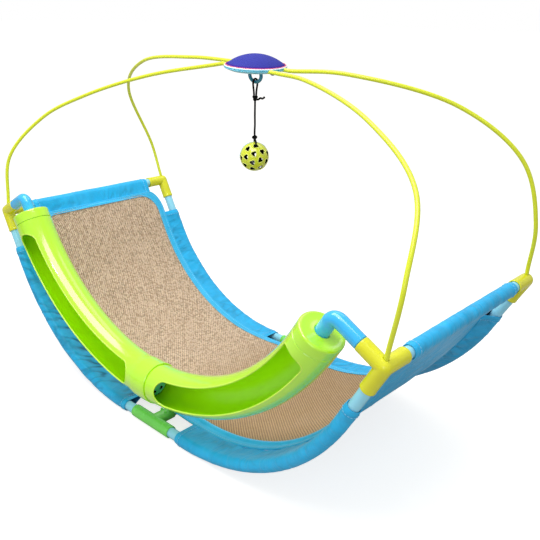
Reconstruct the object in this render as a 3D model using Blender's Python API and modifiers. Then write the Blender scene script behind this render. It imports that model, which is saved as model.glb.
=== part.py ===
"""Cat scratcher bed: a rocking tube frame with a sling, a ball track and a hanging ball.

Metres, +Z up, +X along the bed, -Y towards the side with the ball track. The origin lies
on the floor, under the middle of the whole bed. Every sub-part is one named object.
"""
import math

import bmesh
import bpy
from mathutils import Matrix, Vector

# Clearances
GAP = 0.0003
SHEET_GAP = 0.0004
BALL_GAP = 0.0006
BALL_SEAT = 0.0004

# Side rails, read from the tee to the corner
RAIL_STRAIGHT = 0.074
RAIL_BEND_RADIUS = 0.303
RAIL_BEND_ANGLE = math.radians(61.6)
RAIL_UPPER_LENGTH = 0.097
RAIL_SPACING = 0.335
RAIL_BEND_STEPS = 8

# Tubes and their sockets
TUBE_RADIUS = 0.0075
TUBE_WALL = 0.0013
TUBE_SIDES = 10
FITTING_RADIUS = 0.0094
FITTING_SIDES = 12
SOCKET_STOP = 0.0145
CORNER_ARM = 0.0367
ELBOW_SOCKET_ARM = 0.0336
TEE_HALF_LENGTH = 0.042
TEE_SOCKET_DEPTH = 0.022
TEE_ARM = 0.036
TEE_FLAT_DEPTH = 0.0003
TEE_WEB_RADIUS = 0.013
TEE_WEB_THICKNESS = 0.009
WEB_REACH = 0.026
WEB_THICKNESS = 0.0036
SNAP_RADIUS = 0.0021
SNAP_HEIGHT = 0.0016
SNAP_SPACING = 0.0095
SNAP_DISTANCE = 0.0205

# Elbows that carry the track: from the corner to the bend, and from the bend to the track's tube
ELBOW_REACH = 0.0748
ELBOW_LEG = 0.0427
ELBOW_RADIUS = 0.0090
ELBOW_BEND_RADIUS = 0.0105
ELBOW_BEND_STEPS = 5
ELBOW_SPIGOT_RADIUS = 0.0066
ELBOW_SPIGOT_LENGTH = 0.016

# Ball track, its windows as shares of the way from its lowest point to an end
TRACK_LIFT = 0.072
TRACK_STEPS_PER_HALF = 12
TRACK_RADIUS = 0.0285
TRACK_WALL = 0.0020
TRACK_SIDES = 16
TRACK_NECK_RADIUS = 0.0281
TRACK_NECK_STEP = 0.0036
COLLAR_END = 0.0206
COLLAR_OVERLAP = 0.0236
COLLAR_STOP = 0.0030
COLLAR_SWELL = 0.0195
WINDOW_HALF_HEIGHT = 0.0180
WINDOW_RAISE = 0.0025
WINDOW_LEFT = (-0.949, -0.064)
WINDOW_RIGHT = (0.112, 0.956)
WINDOW_END_RADIUS = 0.0090
WINDOW_STEPS = 12
CAP_LENGTH = 0.016
CAP_PLATE = 0.0030
CAP_FILLET = 0.0025
CAP_SPIGOT_LENGTH = 0.008
CAP_SPIGOT_WALL = 0.0020
LEG_INSERTION = 0.0095

# Flexible rods, each quarter bent through points that are shares of the way from corner to hub
ROD_RADIUS = 0.0027
ROD_SIDES = 8
ROD_START = 0.0030
ROD_STEPS = 4
ROD_SPACING = 0.028
ROD_HUB_STRAIGHT = 0.050
ROD_HUB_SINK = 0.0012
ROD_BENDS = {
    "right_front": ((-0.045, 0.007, 0.364), (0.055, 0.360, 0.651), (0.376, 0.674, 0.861), (0.808, 0.951, 0.983)),
    "right_back": ((-0.028, 0.130, 0.329), (0.046, 0.238, 0.639), (0.293, 0.493, 0.878), (0.680, 0.980, 1.008)),
    "left_front": ((0.005, 0.087, 0.350), (0.113, 0.382, 0.605), (0.293, 0.636, 0.753), (0.596, 0.887, 0.896)),
    "left_back": ((-0.035, 0.079, 0.281), (0.019, 0.495, 0.704), (0.339, 0.849, 0.945), (0.716, 0.938, 1.000)),
}

# Hub
HUB_X = 0.041
HUB_HEIGHT = 0.503
HUB_TILT = math.radians(3.0)
HUB_LEAN = math.radians(3.5)
HUB_RADIUS = 0.0430
HUB_STEPS = 20
HUB_BASE_DEPTH = 0.0050
HUB_BASE_EDGE = 0.0016
HUB_BASE_CONE = 0.0090
HUB_TOP_EDGE = 0.0024
HUB_DISC_INSET = 0.0026
HUB_DISC_EDGE = 0.0008
HUB_CROWN = 0.0140
HUB_EDGE_ROUND = 0.0012
RIVET_INSET = 0.0110
RIVET_RADIUS = 0.0022
RIVET_HEAD_RADIUS = 0.0040
RIVET_HEAD = 0.0026
RIVET_LENGTH = 0.0058
EYE_RADIUS = 0.0088
EYE_HALF_WIDTH = 0.0108
EYE_WIRE_RADIUS = 0.0024
EYE_SIDES = 8
EYE_STEPS = 12
EYE_DROP = 0.0118

# Hanging toy
CORD_RADIUS = 0.0012
CORD_SIDES = 6
CORD_LEAN = 0.0007
CORD_STANDOFF = 0.0032
KNOT_RADIUS = 0.0030
LOOP_LENGTH = 0.0215
STRAND_LENGTH = 0.0545
TOY_BALL_DROP = 0.0265
TAIL_LENGTH = 0.014

# Balls
BALL_RADIUS = 0.0205
BALL_WALL = 0.0016
BALL_STEPS = 12
BALL_RINGS = 3
BALL_HOLE_RADIUS = 0.0027
BALL_HOLE_SIDES = 6
BALL_HOLE_RING = math.radians(54.0)
BALL_HOLES = 6
BELL_RADIUS = 0.0058
BELL_WALL = 0.0008
BELL_SLOT = 0.0014

# Fabric
SLEEVE_WALL = 0.0008
SLEEVE_EASE = 0.0003
SIDE_SLEEVE_DEPTH = 0.028
END_SLEEVE_DEPTH = 0.020
SLEEVE_SEAM_THICKNESS = 0.0026
SLEEVE_ARC_POINTS = 7
SIDE_SLEEVE_START = 0.060
SIDE_SLEEVE_CORNER = 0.060
END_SLEEVE_CORNER = 0.045
SLING_THICKNESS = 0.0012
SLING_CORNER_LENGTH = 0.040
SLING_CORNER_WIDTH = 0.024
SLING_SAG = 0.004
SLING_LIFT_SPAN = 0.057
MAT_THICKNESS = 0.0030
MAT_SIDE_INSET = 0.0120
MAT_END_INSET = 0.0040
MAT_CORNER_LENGTH = 0.040
MAT_CORNER_WIDTH = 0.034
SHEET_COLUMNS = 6
CORNER_ROWS = 3
LIFT_ROWS = 2

# Derived places
RAIL_HALF_LENGTH = RAIL_STRAIGHT + RAIL_BEND_RADIUS * RAIL_BEND_ANGLE + RAIL_UPPER_LENGTH
HALF_SPACING = RAIL_SPACING / 2
FLOOR_TO_RAIL = FITTING_RADIUS - TEE_FLAT_DEPTH
COLLAR_RADIUS = TRACK_NECK_RADIUS + GAP + TRACK_WALL
FRONT_REACH = HALF_SPACING + COLLAR_RADIUS
BACK_REACH = HALF_SPACING + FITTING_RADIUS
CENTRE_SHIFT = (FRONT_REACH - BACK_REACH) / 2
BALL_INNER_RADIUS = BALL_RADIUS - BALL_WALL
SLING_HALF_WIDTH = HALF_SPACING - SIDE_SLEEVE_DEPTH - GAP
SLING_HALF_LENGTH = RAIL_HALF_LENGTH - END_SLEEVE_DEPTH - GAP
SLING_HEIGHT = TUBE_RADIUS + SLING_THICKNESS / 2 + SHEET_GAP
SLING_LIFT = FITTING_RADIUS - TUBE_RADIUS


def track_arc():
    """Radius of the track's arc and its half-angle, so that its ends meet the elbows' legs."""
    bend_end = RAIL_STRAIGHT + RAIL_BEND_RADIUS * math.sin(RAIL_BEND_ANGLE)
    corner_x = bend_end + RAIL_UPPER_LENGTH * math.cos(RAIL_BEND_ANGLE)
    corner_z = RAIL_BEND_RADIUS * (1.0 - math.cos(RAIL_BEND_ANGLE)) + RAIL_UPPER_LENGTH * math.sin(RAIL_BEND_ANGLE)
    x = corner_x - ELBOW_REACH * math.sin(RAIL_BEND_ANGLE)
    rise = corner_z + ELBOW_REACH * math.cos(RAIL_BEND_ANGLE) - TRACK_LIFT
    radius = (x ** 2 + rise ** 2 - ELBOW_LEG ** 2) / (2 * rise)
    return radius, math.atan2(x, radius - rise) - math.atan2(ELBOW_LEG, radius)


TRACK_ARC_RADIUS, TRACK_END_ANGLE = track_arc()
TRACK_SEAT_START = TRACK_END_ANGLE - 1.1 * CAP_SPIGOT_LENGTH / TRACK_ARC_RADIUS

COLOURS = {
    "tube": ((0.214, 0.612, 0.831), 0.30, 0.0),
    "connector": ((0.768, 0.745, 0.021), 0.28, 0.0),
    "tee": ((0.159, 0.644, 0.102), 0.30, 0.0),
    "elbow": ((0.028, 0.456, 0.913), 0.25, 0.0),
    "track": ((0.456, 0.913, 0.045), 0.22, 0.0),
    "rod": ((0.730, 0.830, 0.045), 0.35, 0.0),
    "hub_base": ((0.107, 0.578, 0.839), 0.25, 0.0),
    "hub_top": ((0.900, 0.820, 0.850), 0.30, 0.0),
    "hub_disc": ((0.060, 0.058, 0.462), 0.30, 0.0),
    "rivet": ((0.020, 0.080, 0.300), 0.40, 0.0),
    "cord": ((0.010, 0.010, 0.012), 0.80, 0.0),
    "ball_green": ((0.686, 0.745, 0.030), 0.30, 0.0),
    "ball_blue": ((0.100, 0.520, 0.760), 0.30, 0.0),
    "bell": ((0.560, 0.570, 0.590), 0.25, 1.0),
    "fabric": ((0.047, 0.462, 0.855), 0.60, 0.0),
    "mat": ((0.485, 0.356, 0.226), 0.90, 0.0),
}


def clear_scene():
    """Remove whatever the file starts with."""
    for obj in list(bpy.data.objects):
        bpy.data.objects.remove(obj, do_unlink=True)


def make_collection(name):
    """A collection linked to the scene."""
    collection = bpy.data.collections.new(name)
    bpy.context.scene.collection.children.link(collection)
    return collection


clear_scene()
BED = make_collection("cat_scratcher_bed")
CUTTERS = make_collection("cutters_and_joined_shapes")


def make_material(name):
    """Principled material with the part's colour, roughness and metallic value."""
    if name in bpy.data.materials:
        return bpy.data.materials[name]
    colour, roughness, metallic = COLOURS[name]
    material = bpy.data.materials.new(name)
    material.use_nodes = True
    shader = material.node_tree.nodes["Principled BSDF"]
    shader.inputs["Base Color"].default_value = (*colour, 1.0)
    shader.inputs["Roughness"].default_value = roughness
    shader.inputs["Metallic"].default_value = metallic
    material.diffuse_color = (*colour, 1.0)
    return material


def add_object(name, data, material=None, matrix=None):
    """Put mesh or curve data into the bed, or among the cutters if it has no material."""
    obj = bpy.data.objects.new(name, data)
    (BED if material else CUTTERS).objects.link(obj)
    if matrix is not None:
        obj.matrix_world = matrix
    if material:
        obj.data.materials.append(make_material(material))
    else:
        obj.hide_render = True
        obj.display_type = "WIRE"
    return obj


def smooth(obj, angle=35.0):
    """Shade a round piece smooth, with sharp edges kept."""
    obj.data.shade_smooth()
    obj.data.set_sharp_from_angle(angle=math.radians(angle))
    return obj


def mesh_from(obj, name, material=None):
    """The evaluated object as a merged mesh object that takes its place."""
    bpy.context.view_layer.update()
    evaluated = obj.evaluated_get(bpy.context.evaluated_depsgraph_get())
    mesh = bpy.data.meshes.new_from_object(evaluated)
    matrix = obj.matrix_world.copy()
    bpy.data.objects.remove(obj, do_unlink=True)
    work = bmesh.new()
    work.from_mesh(mesh)
    bmesh.ops.remove_doubles(work, verts=work.verts, dist=1e-6)
    bmesh.ops.recalc_face_normals(work, faces=work.faces)
    work.to_mesh(mesh)
    work.free()
    mesh.materials.clear()
    return add_object(name, mesh, material, matrix)


def frame_along(origin, direction, across=(0.0, 1.0, 0.0)):
    """Placement whose +Z runs along a direction and whose +Y is nearest to across."""
    z_axis = Vector(direction).normalized()
    if abs(z_axis.dot(across)) > 0.99:
        across = (0.0, 0.0, 1.0)
    x_axis = Vector(across).cross(z_axis).normalized()
    y_axis = z_axis.cross(x_axis)
    rotation = Matrix((x_axis, y_axis, z_axis)).transposed().to_4x4()
    return Matrix.Translation(origin) @ rotation


def polygon_radius(radius, sides):
    """Corner radius of a polygon whose flats just clear a circle."""
    return radius / math.cos(math.pi / sides)


def cylinder(name, start, direction, length, radius, sides=FITTING_SIDES, material=None, end_radius=None):
    """Round bar from a start point, perhaps tapered."""
    work = bmesh.new()
    end_radius = radius if end_radius is None else end_radius
    bmesh.ops.create_cone(work, cap_ends=True, segments=sides, radius1=radius, radius2=end_radius, depth=length)
    bmesh.ops.translate(work, verts=work.verts, vec=(0.0, 0.0, length / 2))
    mesh = bpy.data.meshes.new(name)
    work.to_mesh(mesh)
    work.free()
    return smooth(add_object(name, mesh, material, frame_along(start, direction)))


def sphere(name, centre, radius, sides=FITTING_SIDES, material=None):
    """Ball from a UV sphere."""
    work = bmesh.new()
    bmesh.ops.create_uvsphere(work, u_segments=sides, v_segments=sides // 2, radius=radius)
    mesh = bpy.data.meshes.new(name)
    work.to_mesh(mesh)
    work.free()
    return smooth(add_object(name, mesh, material, Matrix.Translation(centre)))


def box(name, matrix, size):
    """Cutting block centred on a placement."""
    work = bmesh.new()
    bmesh.ops.create_cube(work, size=1.0)
    bmesh.ops.scale(work, verts=work.verts, vec=size)
    mesh = bpy.data.meshes.new(name)
    work.to_mesh(mesh)
    work.free()
    return add_object(name, mesh, None, matrix)


def tube_curve(name, points, radius, sides, caps=True, radii=None, cyclic=False, twist="Z_UP"):
    """Polyline curve with a round bevel."""
    curve = bpy.data.curves.new(name, "CURVE")
    curve.dimensions = "3D"
    curve.twist_mode = twist
    curve.bevel_depth = radius
    curve.bevel_resolution = (sides - 4) // 2
    curve.use_fill_caps = caps
    spline = curve.splines.new("POLY")
    spline.points.add(len(points) - 1)
    spline.use_cyclic_u = cyclic
    for index, point in enumerate(points):
        spline.points[index].co = (*point, 1.0)
        spline.points[index].radius = radii[index] / radius if radii else 1.0
    return add_object(name, curve)


def bar(name, points, radius, sides, material=None, **options):
    """Solid bent bar as a mesh."""
    return smooth(mesh_from(tube_curve(name + "_path", points, radius, sides, **options), name, material))


def pipe(name, points, radius, wall, sides, material, **options):
    """Hollow bent tube, open at both ends."""
    shell = mesh_from(tube_curve(name + "_path", points, radius, sides, caps=False, **options), name, material)
    solidify = shell.modifiers.new("wall", "SOLIDIFY")
    solidify.thickness = wall
    solidify.offset = -1.0
    solidify.use_even_offset = True
    return smooth(shell)


def turned(name, profile, steps, material, matrix):
    """Turned shape: a profile in X and Z, from top to bottom on its outer side, spun round Z."""
    edges = [(i, i + 1) for i in range(len(profile) - 1)]
    if profile[0][0] > 0.0:
        edges.append((len(profile) - 1, 0))
    mesh = bpy.data.meshes.new(name)
    mesh.from_pydata([(x, 0.0, z) for x, z in profile], edges, [])
    obj = add_object(name, mesh, material, matrix)
    screw = obj.modifiers.new("turn", "SCREW")
    screw.steps = steps
    screw.render_steps = steps
    screw.use_merge_vertices = True
    screw.merge_threshold = 0.00001
    return obj


def outline(name, points, thickness, matrix):
    """Flat outline of a given thickness, in the placement's XY plane."""
    curve = bpy.data.curves.new(name, "CURVE")
    curve.dimensions = "2D"
    curve.fill_mode = "BOTH"
    curve.extrude = thickness / 2
    spline = curve.splines.new("POLY")
    spline.points.add(len(points) - 1)
    spline.use_cyclic_u = True
    for index, (x, y) in enumerate(points):
        spline.points[index].co = (x, y, 0.0, 1.0)
    obj = add_object(name + "_outline", curve, None, matrix)
    return mesh_from(obj, name)


def combine(obj, others, operation):
    """Unite or cut an object with other shapes, in order."""
    for other in others:
        modifier = obj.modifiers.new(operation.lower(), "BOOLEAN")
        modifier.operation = operation
        modifier.object = other
        modifier.solver = "EXACT"
    return obj


def arc_points(centre, radius, start, end, steps):
    """Points along a flat arc, both ends included."""
    angles = [start + (end - start) * i / steps for i in range(steps + 1)]
    return [(centre[0] + radius * math.cos(a), centre[1] + radius * math.sin(a)) for a in angles]


def rail_point(distance):
    """Place, direction and inward normal of a rail's centre line, a signed distance from its tee."""
    side = 1.0 if distance >= 0 else -1.0
    along = abs(distance)
    turn = min(max((along - RAIL_STRAIGHT) / RAIL_BEND_RADIUS, 0.0), RAIL_BEND_ANGLE)
    beyond = max(along - RAIL_STRAIGHT - RAIL_BEND_RADIUS * RAIL_BEND_ANGLE, 0.0)
    x = min(along, RAIL_STRAIGHT) + RAIL_BEND_RADIUS * math.sin(turn) + beyond * math.cos(turn)
    z = RAIL_BEND_RADIUS * (1.0 - math.cos(turn)) + beyond * math.sin(turn)
    place = Vector((side * x, 0.0, FLOOR_TO_RAIL + z))
    direction = Vector((math.cos(turn), 0.0, side * math.sin(turn)))
    normal = Vector((-side * math.sin(turn), 0.0, math.cos(turn)))
    return place, direction, normal


def rail_stations(start, end):
    """Distances along a rail between two ends, with one at each step of the bend."""
    step = RAIL_BEND_RADIUS * RAIL_BEND_ANGLE / RAIL_BEND_STEPS
    bend = [RAIL_STRAIGHT + step * i for i in range(RAIL_BEND_STEPS + 1)]
    return [start] + [s for s in bend if start < s < end] + [end]


def side_y(front):
    """Y of the front or back rail."""
    return CENTRE_SHIFT + (-HALF_SPACING if front else HALF_SPACING)


def corner_frame(side, front):
    """Corner centre, direction down the rail, direction along the cross tube, and up to the elbow."""
    place, direction, normal = rail_point(side * RAIL_HALF_LENGTH)
    centre = place + Vector((0.0, side_y(front), 0.0))
    along_cross = Vector((0.0, 1.0 if front else -1.0, 0.0))
    return centre, -side * direction, along_cross, normal


def build_rails():
    """Four bent side tubes, from a tee to a corner each."""
    start = TEE_HALF_LENGTH - TEE_SOCKET_DEPTH
    end = RAIL_HALF_LENGTH - SOCKET_STOP
    for side, side_name in ((-1.0, "left"), (1.0, "right")):
        for front, depth_name in ((True, "front"), (False, "back")):
            shift = Vector((0.0, side_y(front), 0.0))
            points = [rail_point(side * s)[0] + shift for s in rail_stations(start, end)]
            pipe(f"{depth_name}_rail_{side_name}", points, TUBE_RADIUS, TUBE_WALL, TUBE_SIDES, "tube")


def build_cross_tubes():
    """Straight tubes between the front and back fittings."""
    for name, distance in (("left_cross_tube", -RAIL_HALF_LENGTH), ("bottom_cross_tube", 0.0),
                           ("right_cross_tube", RAIL_HALF_LENGTH)):
        place = rail_point(distance)[0]
        ends = [place + Vector((0.0, side_y(True) + SOCKET_STOP, 0.0)),
                place + Vector((0.0, side_y(False) - SOCKET_STOP, 0.0))]
        pipe(name, ends, TUBE_RADIUS, TUBE_WALL, TUBE_SIDES, "tube")


def socket(name, centre, direction, start, end, radius):
    """Bore of a fitting's arm, from its stop to past its mouth."""
    bore = polygon_radius(radius + GAP, FITTING_SIDES)
    origin = centre + direction * (start - GAP)
    return cylinder(name, origin, direction, end - start + 4 * GAP, bore)


def concave_web(reach, fillet_steps=6):
    """Outline of a web in the corner of two arms, hollowed on its free side."""
    return [(0.0, 0.0)] + arc_points((reach, reach), reach, -math.pi / 2, -math.pi, fillet_steps)


def build_tee(front):
    """Bottom fitting: a sleeve along the rail with an arm for the bottom cross tube."""
    name = "front_tee" if front else "back_tee"
    centre = rail_point(0.0)[0] + Vector((0.0, side_y(front), 0.0))
    inward = Vector((0.0, 1.0 if front else -1.0, 0.0))
    along = Vector((1.0, 0.0, 0.0))
    body = cylinder(name, centre - along * TEE_HALF_LENGTH, along, 2 * TEE_HALF_LENGTH, FITTING_RADIUS,
                    material="tee")
    arm = cylinder(name + "_arm", centre, inward, TEE_ARM, FITTING_RADIUS)
    reach = FITTING_RADIUS + TEE_WEB_RADIUS
    joined = [arm]
    for side in (-1.0, 1.0):
        flat = Matrix((along * side, inward, (along * side).cross(inward))).transposed().to_4x4()
        joined.append(outline(f"{name}_web_{int(side)}", concave_web(reach), TEE_WEB_THICKNESS,
                              Matrix.Translation(centre) @ flat))
    for side in (-1.0, 1.0):
        spot = centre + inward * SNAP_DISTANCE + along * side * SNAP_SPACING / 2
        joined.append(cylinder(f"{name}_snap_{int(side)}", spot, (0.0, 0.0, 1.0), FITTING_RADIUS + SNAP_HEIGHT,
                               SNAP_RADIUS, sides=8))
    combine(body, joined, "UNION")
    cuts = [socket(f"{name}_bore_{int(side)}", centre, along * side, TEE_HALF_LENGTH - TEE_SOCKET_DEPTH,
                   TEE_HALF_LENGTH, TUBE_RADIUS) for side in (-1.0, 1.0)]
    cuts.append(socket(name + "_arm_bore", centre, inward, SOCKET_STOP, TEE_ARM, TUBE_RADIUS))
    ground = 3 * TEE_HALF_LENGTH
    cuts.append(box(name + "_ground", Matrix.Translation((0.0, centre.y, -ground / 2)), (ground,) * 3))
    combine(body, cuts, "DIFFERENCE")


def rod_lead(side, front):
    """Start of a rod's hole in its corner and the direction in which the rod leaves it."""
    points = rod_quarter(side, front)
    return points[0], (points[1] - points[0]).normalized()


def build_corner(side, front):
    """Corner fitting: arms for the rail, the cross tube and, in front, the track's elbow."""
    name = f"{'front' if front else 'back'}_{'left' if side < 0 else 'right'}_connector"
    centre, down, across, up = corner_frame(side, front)
    body = sphere(name, centre, FITTING_RADIUS, material="connector")
    joined = [cylinder(name + "_rail_arm", centre, down, CORNER_ARM, FITTING_RADIUS),
              cylinder(name + "_cross_arm", centre, across, CORNER_ARM, FITTING_RADIUS)]
    flat = Matrix((down, across, down.cross(across))).transposed().to_4x4()
    joined.append(outline(name + "_web", concave_web(WEB_REACH), WEB_THICKNESS, Matrix.Translation(centre) @ flat))
    if front:
        joined.append(cylinder(name + "_elbow_arm", centre, up, ELBOW_SOCKET_ARM, FITTING_RADIUS))
        upright = Matrix((down, up, down.cross(up))).transposed().to_4x4()
        joined.append(outline(name + "_brace", concave_web(WEB_REACH * 0.8), WEB_THICKNESS,
                              Matrix.Translation(centre) @ upright))
    combine(body, joined, "UNION")
    cuts = [socket(name + "_rail_bore", centre, down, SOCKET_STOP, CORNER_ARM, TUBE_RADIUS),
            socket(name + "_cross_bore", centre, across, SOCKET_STOP, CORNER_ARM, TUBE_RADIUS)]
    if front:
        cuts.append(socket(name + "_elbow_bore", centre, up, ELBOW_SOCKET_ARM - ELBOW_SPIGOT_LENGTH,
                           ELBOW_SOCKET_ARM, ELBOW_SPIGOT_RADIUS))
    start, lead = rod_lead(side, front)
    cuts.append(cylinder(name + "_rod_bore", start - lead * GAP, lead, 3 * FITTING_RADIUS,
                         polygon_radius(ROD_RADIUS + GAP, ROD_SIDES), sides=ROD_SIDES))
    combine(body, cuts, "DIFFERENCE")


def track_point(angle, radius=TRACK_ARC_RADIUS, raise_by=0.0):
    """Point on the track's arc, an angle from its lowest point."""
    centre_z = FLOOR_TO_RAIL + TRACK_LIFT + TRACK_ARC_RADIUS
    reach = radius - raise_by
    return Vector((reach * math.sin(angle), side_y(True), centre_z - reach * math.cos(angle)))


def track_end(side):
    """Centre and outward direction of an end of the track's tube, straight along the cap's spigot."""
    end = track_point(side * TRACK_END_ANGLE)
    return end, (end - track_point(side * TRACK_SEAT_START)).normalized()


def elbow_meeting(side):
    """Where the elbow's two legs meet: lengths from the corner and from the track's end."""
    centre, _, _, up = corner_frame(side, True)
    end, outward = track_end(side)
    gap = end - centre
    cross = up.x * outward.z - up.z * outward.x
    from_corner = (gap.x * outward.z - gap.z * outward.x) / cross
    from_track = (gap.x * up.z - gap.z * up.x) / cross
    return centre + up * from_corner, from_corner, from_track


def build_elbow(side):
    """Bent holder from the corner's upper arm into the cap of the track."""
    name = "left_elbow" if side < 0 else "right_elbow"
    centre, _, _, up = corner_frame(side, True)
    end, outward = track_end(side)
    meet, _, _ = elbow_meeting(side)
    start = centre + up * (ELBOW_SOCKET_ARM + GAP)
    finish = end + outward * (CAP_LENGTH - LEG_INSERTION)
    to_start, to_finish = up * -1.0, outward * -1.0
    half = to_start.angle(to_finish) / 2
    trim = ELBOW_BEND_RADIUS / math.tan(half)
    hollow = meet + (to_start + to_finish).normalized() * (ELBOW_BEND_RADIUS / math.sin(half))
    first = (meet + to_start * trim - hollow).normalized()
    last = (meet + to_finish * trim - hollow).normalized()
    points = [start]
    for i in range(ELBOW_BEND_STEPS + 1):
        points.append(hollow + first.slerp(last, i / ELBOW_BEND_STEPS).normalized() * ELBOW_BEND_RADIUS)
    points.append(finish)
    body = bar(name, points, ELBOW_RADIUS, FITTING_SIDES, "elbow", twist="MINIMUM")
    spigot = cylinder(name + "_spigot", start - up * (ELBOW_SPIGOT_LENGTH - GAP), up,
                      ELBOW_SPIGOT_LENGTH + ELBOW_RADIUS / 2, ELBOW_SPIGOT_RADIUS)
    combine(body, [spigot], "UNION")


def build_cap(side):
    """End cap of the track: a cup with a spigot inside the tube and a hole for the elbow."""
    name = "track_left_cap" if side < 0 else "track_right_cap"
    end, outward = track_end(side)
    hole = polygon_radius(ELBOW_RADIUS + GAP, TRACK_SIDES)
    spigot = TRACK_RADIUS * math.cos(math.pi / TRACK_SIDES) - TRACK_WALL - GAP
    top, plate = CAP_LENGTH, CAP_LENGTH - CAP_PLATE
    rounded = arc_points((TRACK_RADIUS - CAP_FILLET, top - CAP_FILLET), CAP_FILLET, math.pi / 2, 0.0, 3)
    profile = [(hole, top)] + rounded + [
        (TRACK_RADIUS, GAP), (spigot, GAP), (spigot, -CAP_SPIGOT_LENGTH),
        (spigot - CAP_SPIGOT_WALL, -CAP_SPIGOT_LENGTH), (spigot - CAP_SPIGOT_WALL, plate), (hole, plate)]
    smooth(turned(name, profile, TRACK_SIDES, "track", frame_along(end, outward)))


def window_cutter(name, span, square_end):
    """Window of a track half: a curved band with round ends, or with one end nearly square."""
    middle = TRACK_ARC_RADIUS - WINDOW_RAISE
    low, high = middle + WINDOW_HALF_HEIGHT, middle - WINDOW_HALF_HEIGHT
    centre_z = FLOOR_TO_RAIL + TRACK_LIFT + TRACK_ARC_RADIUS
    start_round = WINDOW_HALF_HEIGHT
    end_round = WINDOW_END_RADIUS if square_end else WINDOW_HALF_HEIGHT

    def place(angle, radius):
        return (radius * math.sin(angle), centre_z - radius * math.cos(angle))

    def corner(angle_at, radius_at, round_radius, begin, finish):
        steps = 5
        turns = [begin + (finish - begin) * i / steps for i in range(steps + 1)]
        return [place(angle_at + round_radius * math.cos(t) / middle, radius_at - round_radius * math.sin(t))
                for t in turns]

    first = span[0] * TRACK_END_ANGLE + start_round / middle
    last = span[1] * TRACK_END_ANGLE - end_round / middle
    points = [place(first + (last - first) * i / WINDOW_STEPS, low) for i in range(WINDOW_STEPS + 1)]
    points += corner(last, low - end_round, end_round, -math.pi / 2, 0.0)[1:]
    points += corner(last, high + end_round, end_round, 0.0, math.pi / 2)[(0 if square_end else 1):]
    points += [place(last + (first - last) * i / WINDOW_STEPS, high) for i in range(1, WINDOW_STEPS + 1)]
    points += corner(first, high + start_round, start_round, math.pi / 2, math.pi)[1:]
    points += corner(first, low - start_round, start_round, math.pi, 3 * math.pi / 2)[1:-1]
    depth = TRACK_RADIUS * 1.2
    place_y = side_y(True) - depth / 2 - TRACK_RADIUS / 5
    upright = Matrix.Translation((0.0, place_y, 0.0)) @ Matrix.Rotation(math.pi / 2, 4, "X")
    return outline(name, points, depth, upright)


def track_radius(angle):
    """Outer radius of the left half: plain, then swelling into the collar."""
    swell_end = COLLAR_END - COLLAR_OVERLAP - COLLAR_STOP
    share = min(max((angle * TRACK_ARC_RADIUS - swell_end) / COLLAR_SWELL + 1.0, 0.0), 1.0)
    return TRACK_RADIUS + (COLLAR_RADIUS - TRACK_RADIUS) * share * share * (3.0 - 2.0 * share)


def build_track():
    """Two tube halves: the right one sits in the left one's collar, and each has a window."""
    begin, finish = (COLLAR_END - COLLAR_OVERLAP) / TRACK_ARC_RADIUS, COLLAR_END / TRACK_ARC_RADIUS
    swell = COLLAR_SWELL / TRACK_ARC_RADIUS
    plain_end = begin - COLLAR_STOP / TRACK_ARC_RADIUS - swell
    steps = TRACK_STEPS_PER_HALF
    far = TRACK_SEAT_START
    left = [-TRACK_END_ANGLE] + [-far + (plain_end + far) * i / steps for i in range(steps + 1)]
    left += [plain_end + swell * i / 4 for i in range(1, 5)] + [finish]
    half = pipe("track_left_half", [track_point(a) for a in left], TRACK_RADIUS, TRACK_WALL, TRACK_SIDES, "track",
                radii=[track_radius(a) for a in left])
    combine(half, [window_cutter("left_window", WINDOW_LEFT, False)], "DIFFERENCE")
    right = [begin, finish, finish + TRACK_NECK_STEP / TRACK_ARC_RADIUS]
    right += [finish + (far - finish) * i / steps for i in range(1, steps + 1)] + [TRACK_END_ANGLE]
    radii = [TRACK_NECK_RADIUS] * 2 + [TRACK_RADIUS] * (len(right) - 2)
    half = pipe("track_right_half", [track_point(a) for a in right], TRACK_RADIUS, TRACK_WALL, TRACK_SIDES, "track",
                radii=radii)
    combine(half, [window_cutter("right_window", WINDOW_RIGHT, True)], "DIFFERENCE")


def hub_matrix():
    """Placement of the hub, leaning a little to the right and to the front."""
    place = Matrix.Translation((HUB_X, CENTRE_SHIFT, FLOOR_TO_RAIL + HUB_HEIGHT))
    return place @ Matrix.Rotation(HUB_LEAN, 4, "Y") @ Matrix.Rotation(HUB_TILT, 4, "X")


def rod_quarter(side, front):
    """Points of a rod from its corner to the hub, chosen by eye along the bent rod."""
    centre = corner_frame(side, front)[0]
    offset = -ROD_SPACING / 2 if front else ROD_SPACING / 2
    target = hub_matrix() @ Vector((side * ROD_HUB_STRAIGHT, offset, -ROD_HUB_SINK))
    way = target - centre
    bends = [centre + Vector((way.x * x, way.y * y, way.z * z))
             for x, y, z in ROD_BENDS[f"{'right' if side > 0 else 'left'}_{'front' if front else 'back'}"]]
    lead = (bends[0] - centre).normalized()
    return [centre + lead * ROD_START, centre + lead * (FITTING_RADIUS + ROD_START)] + bends + [target]


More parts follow.
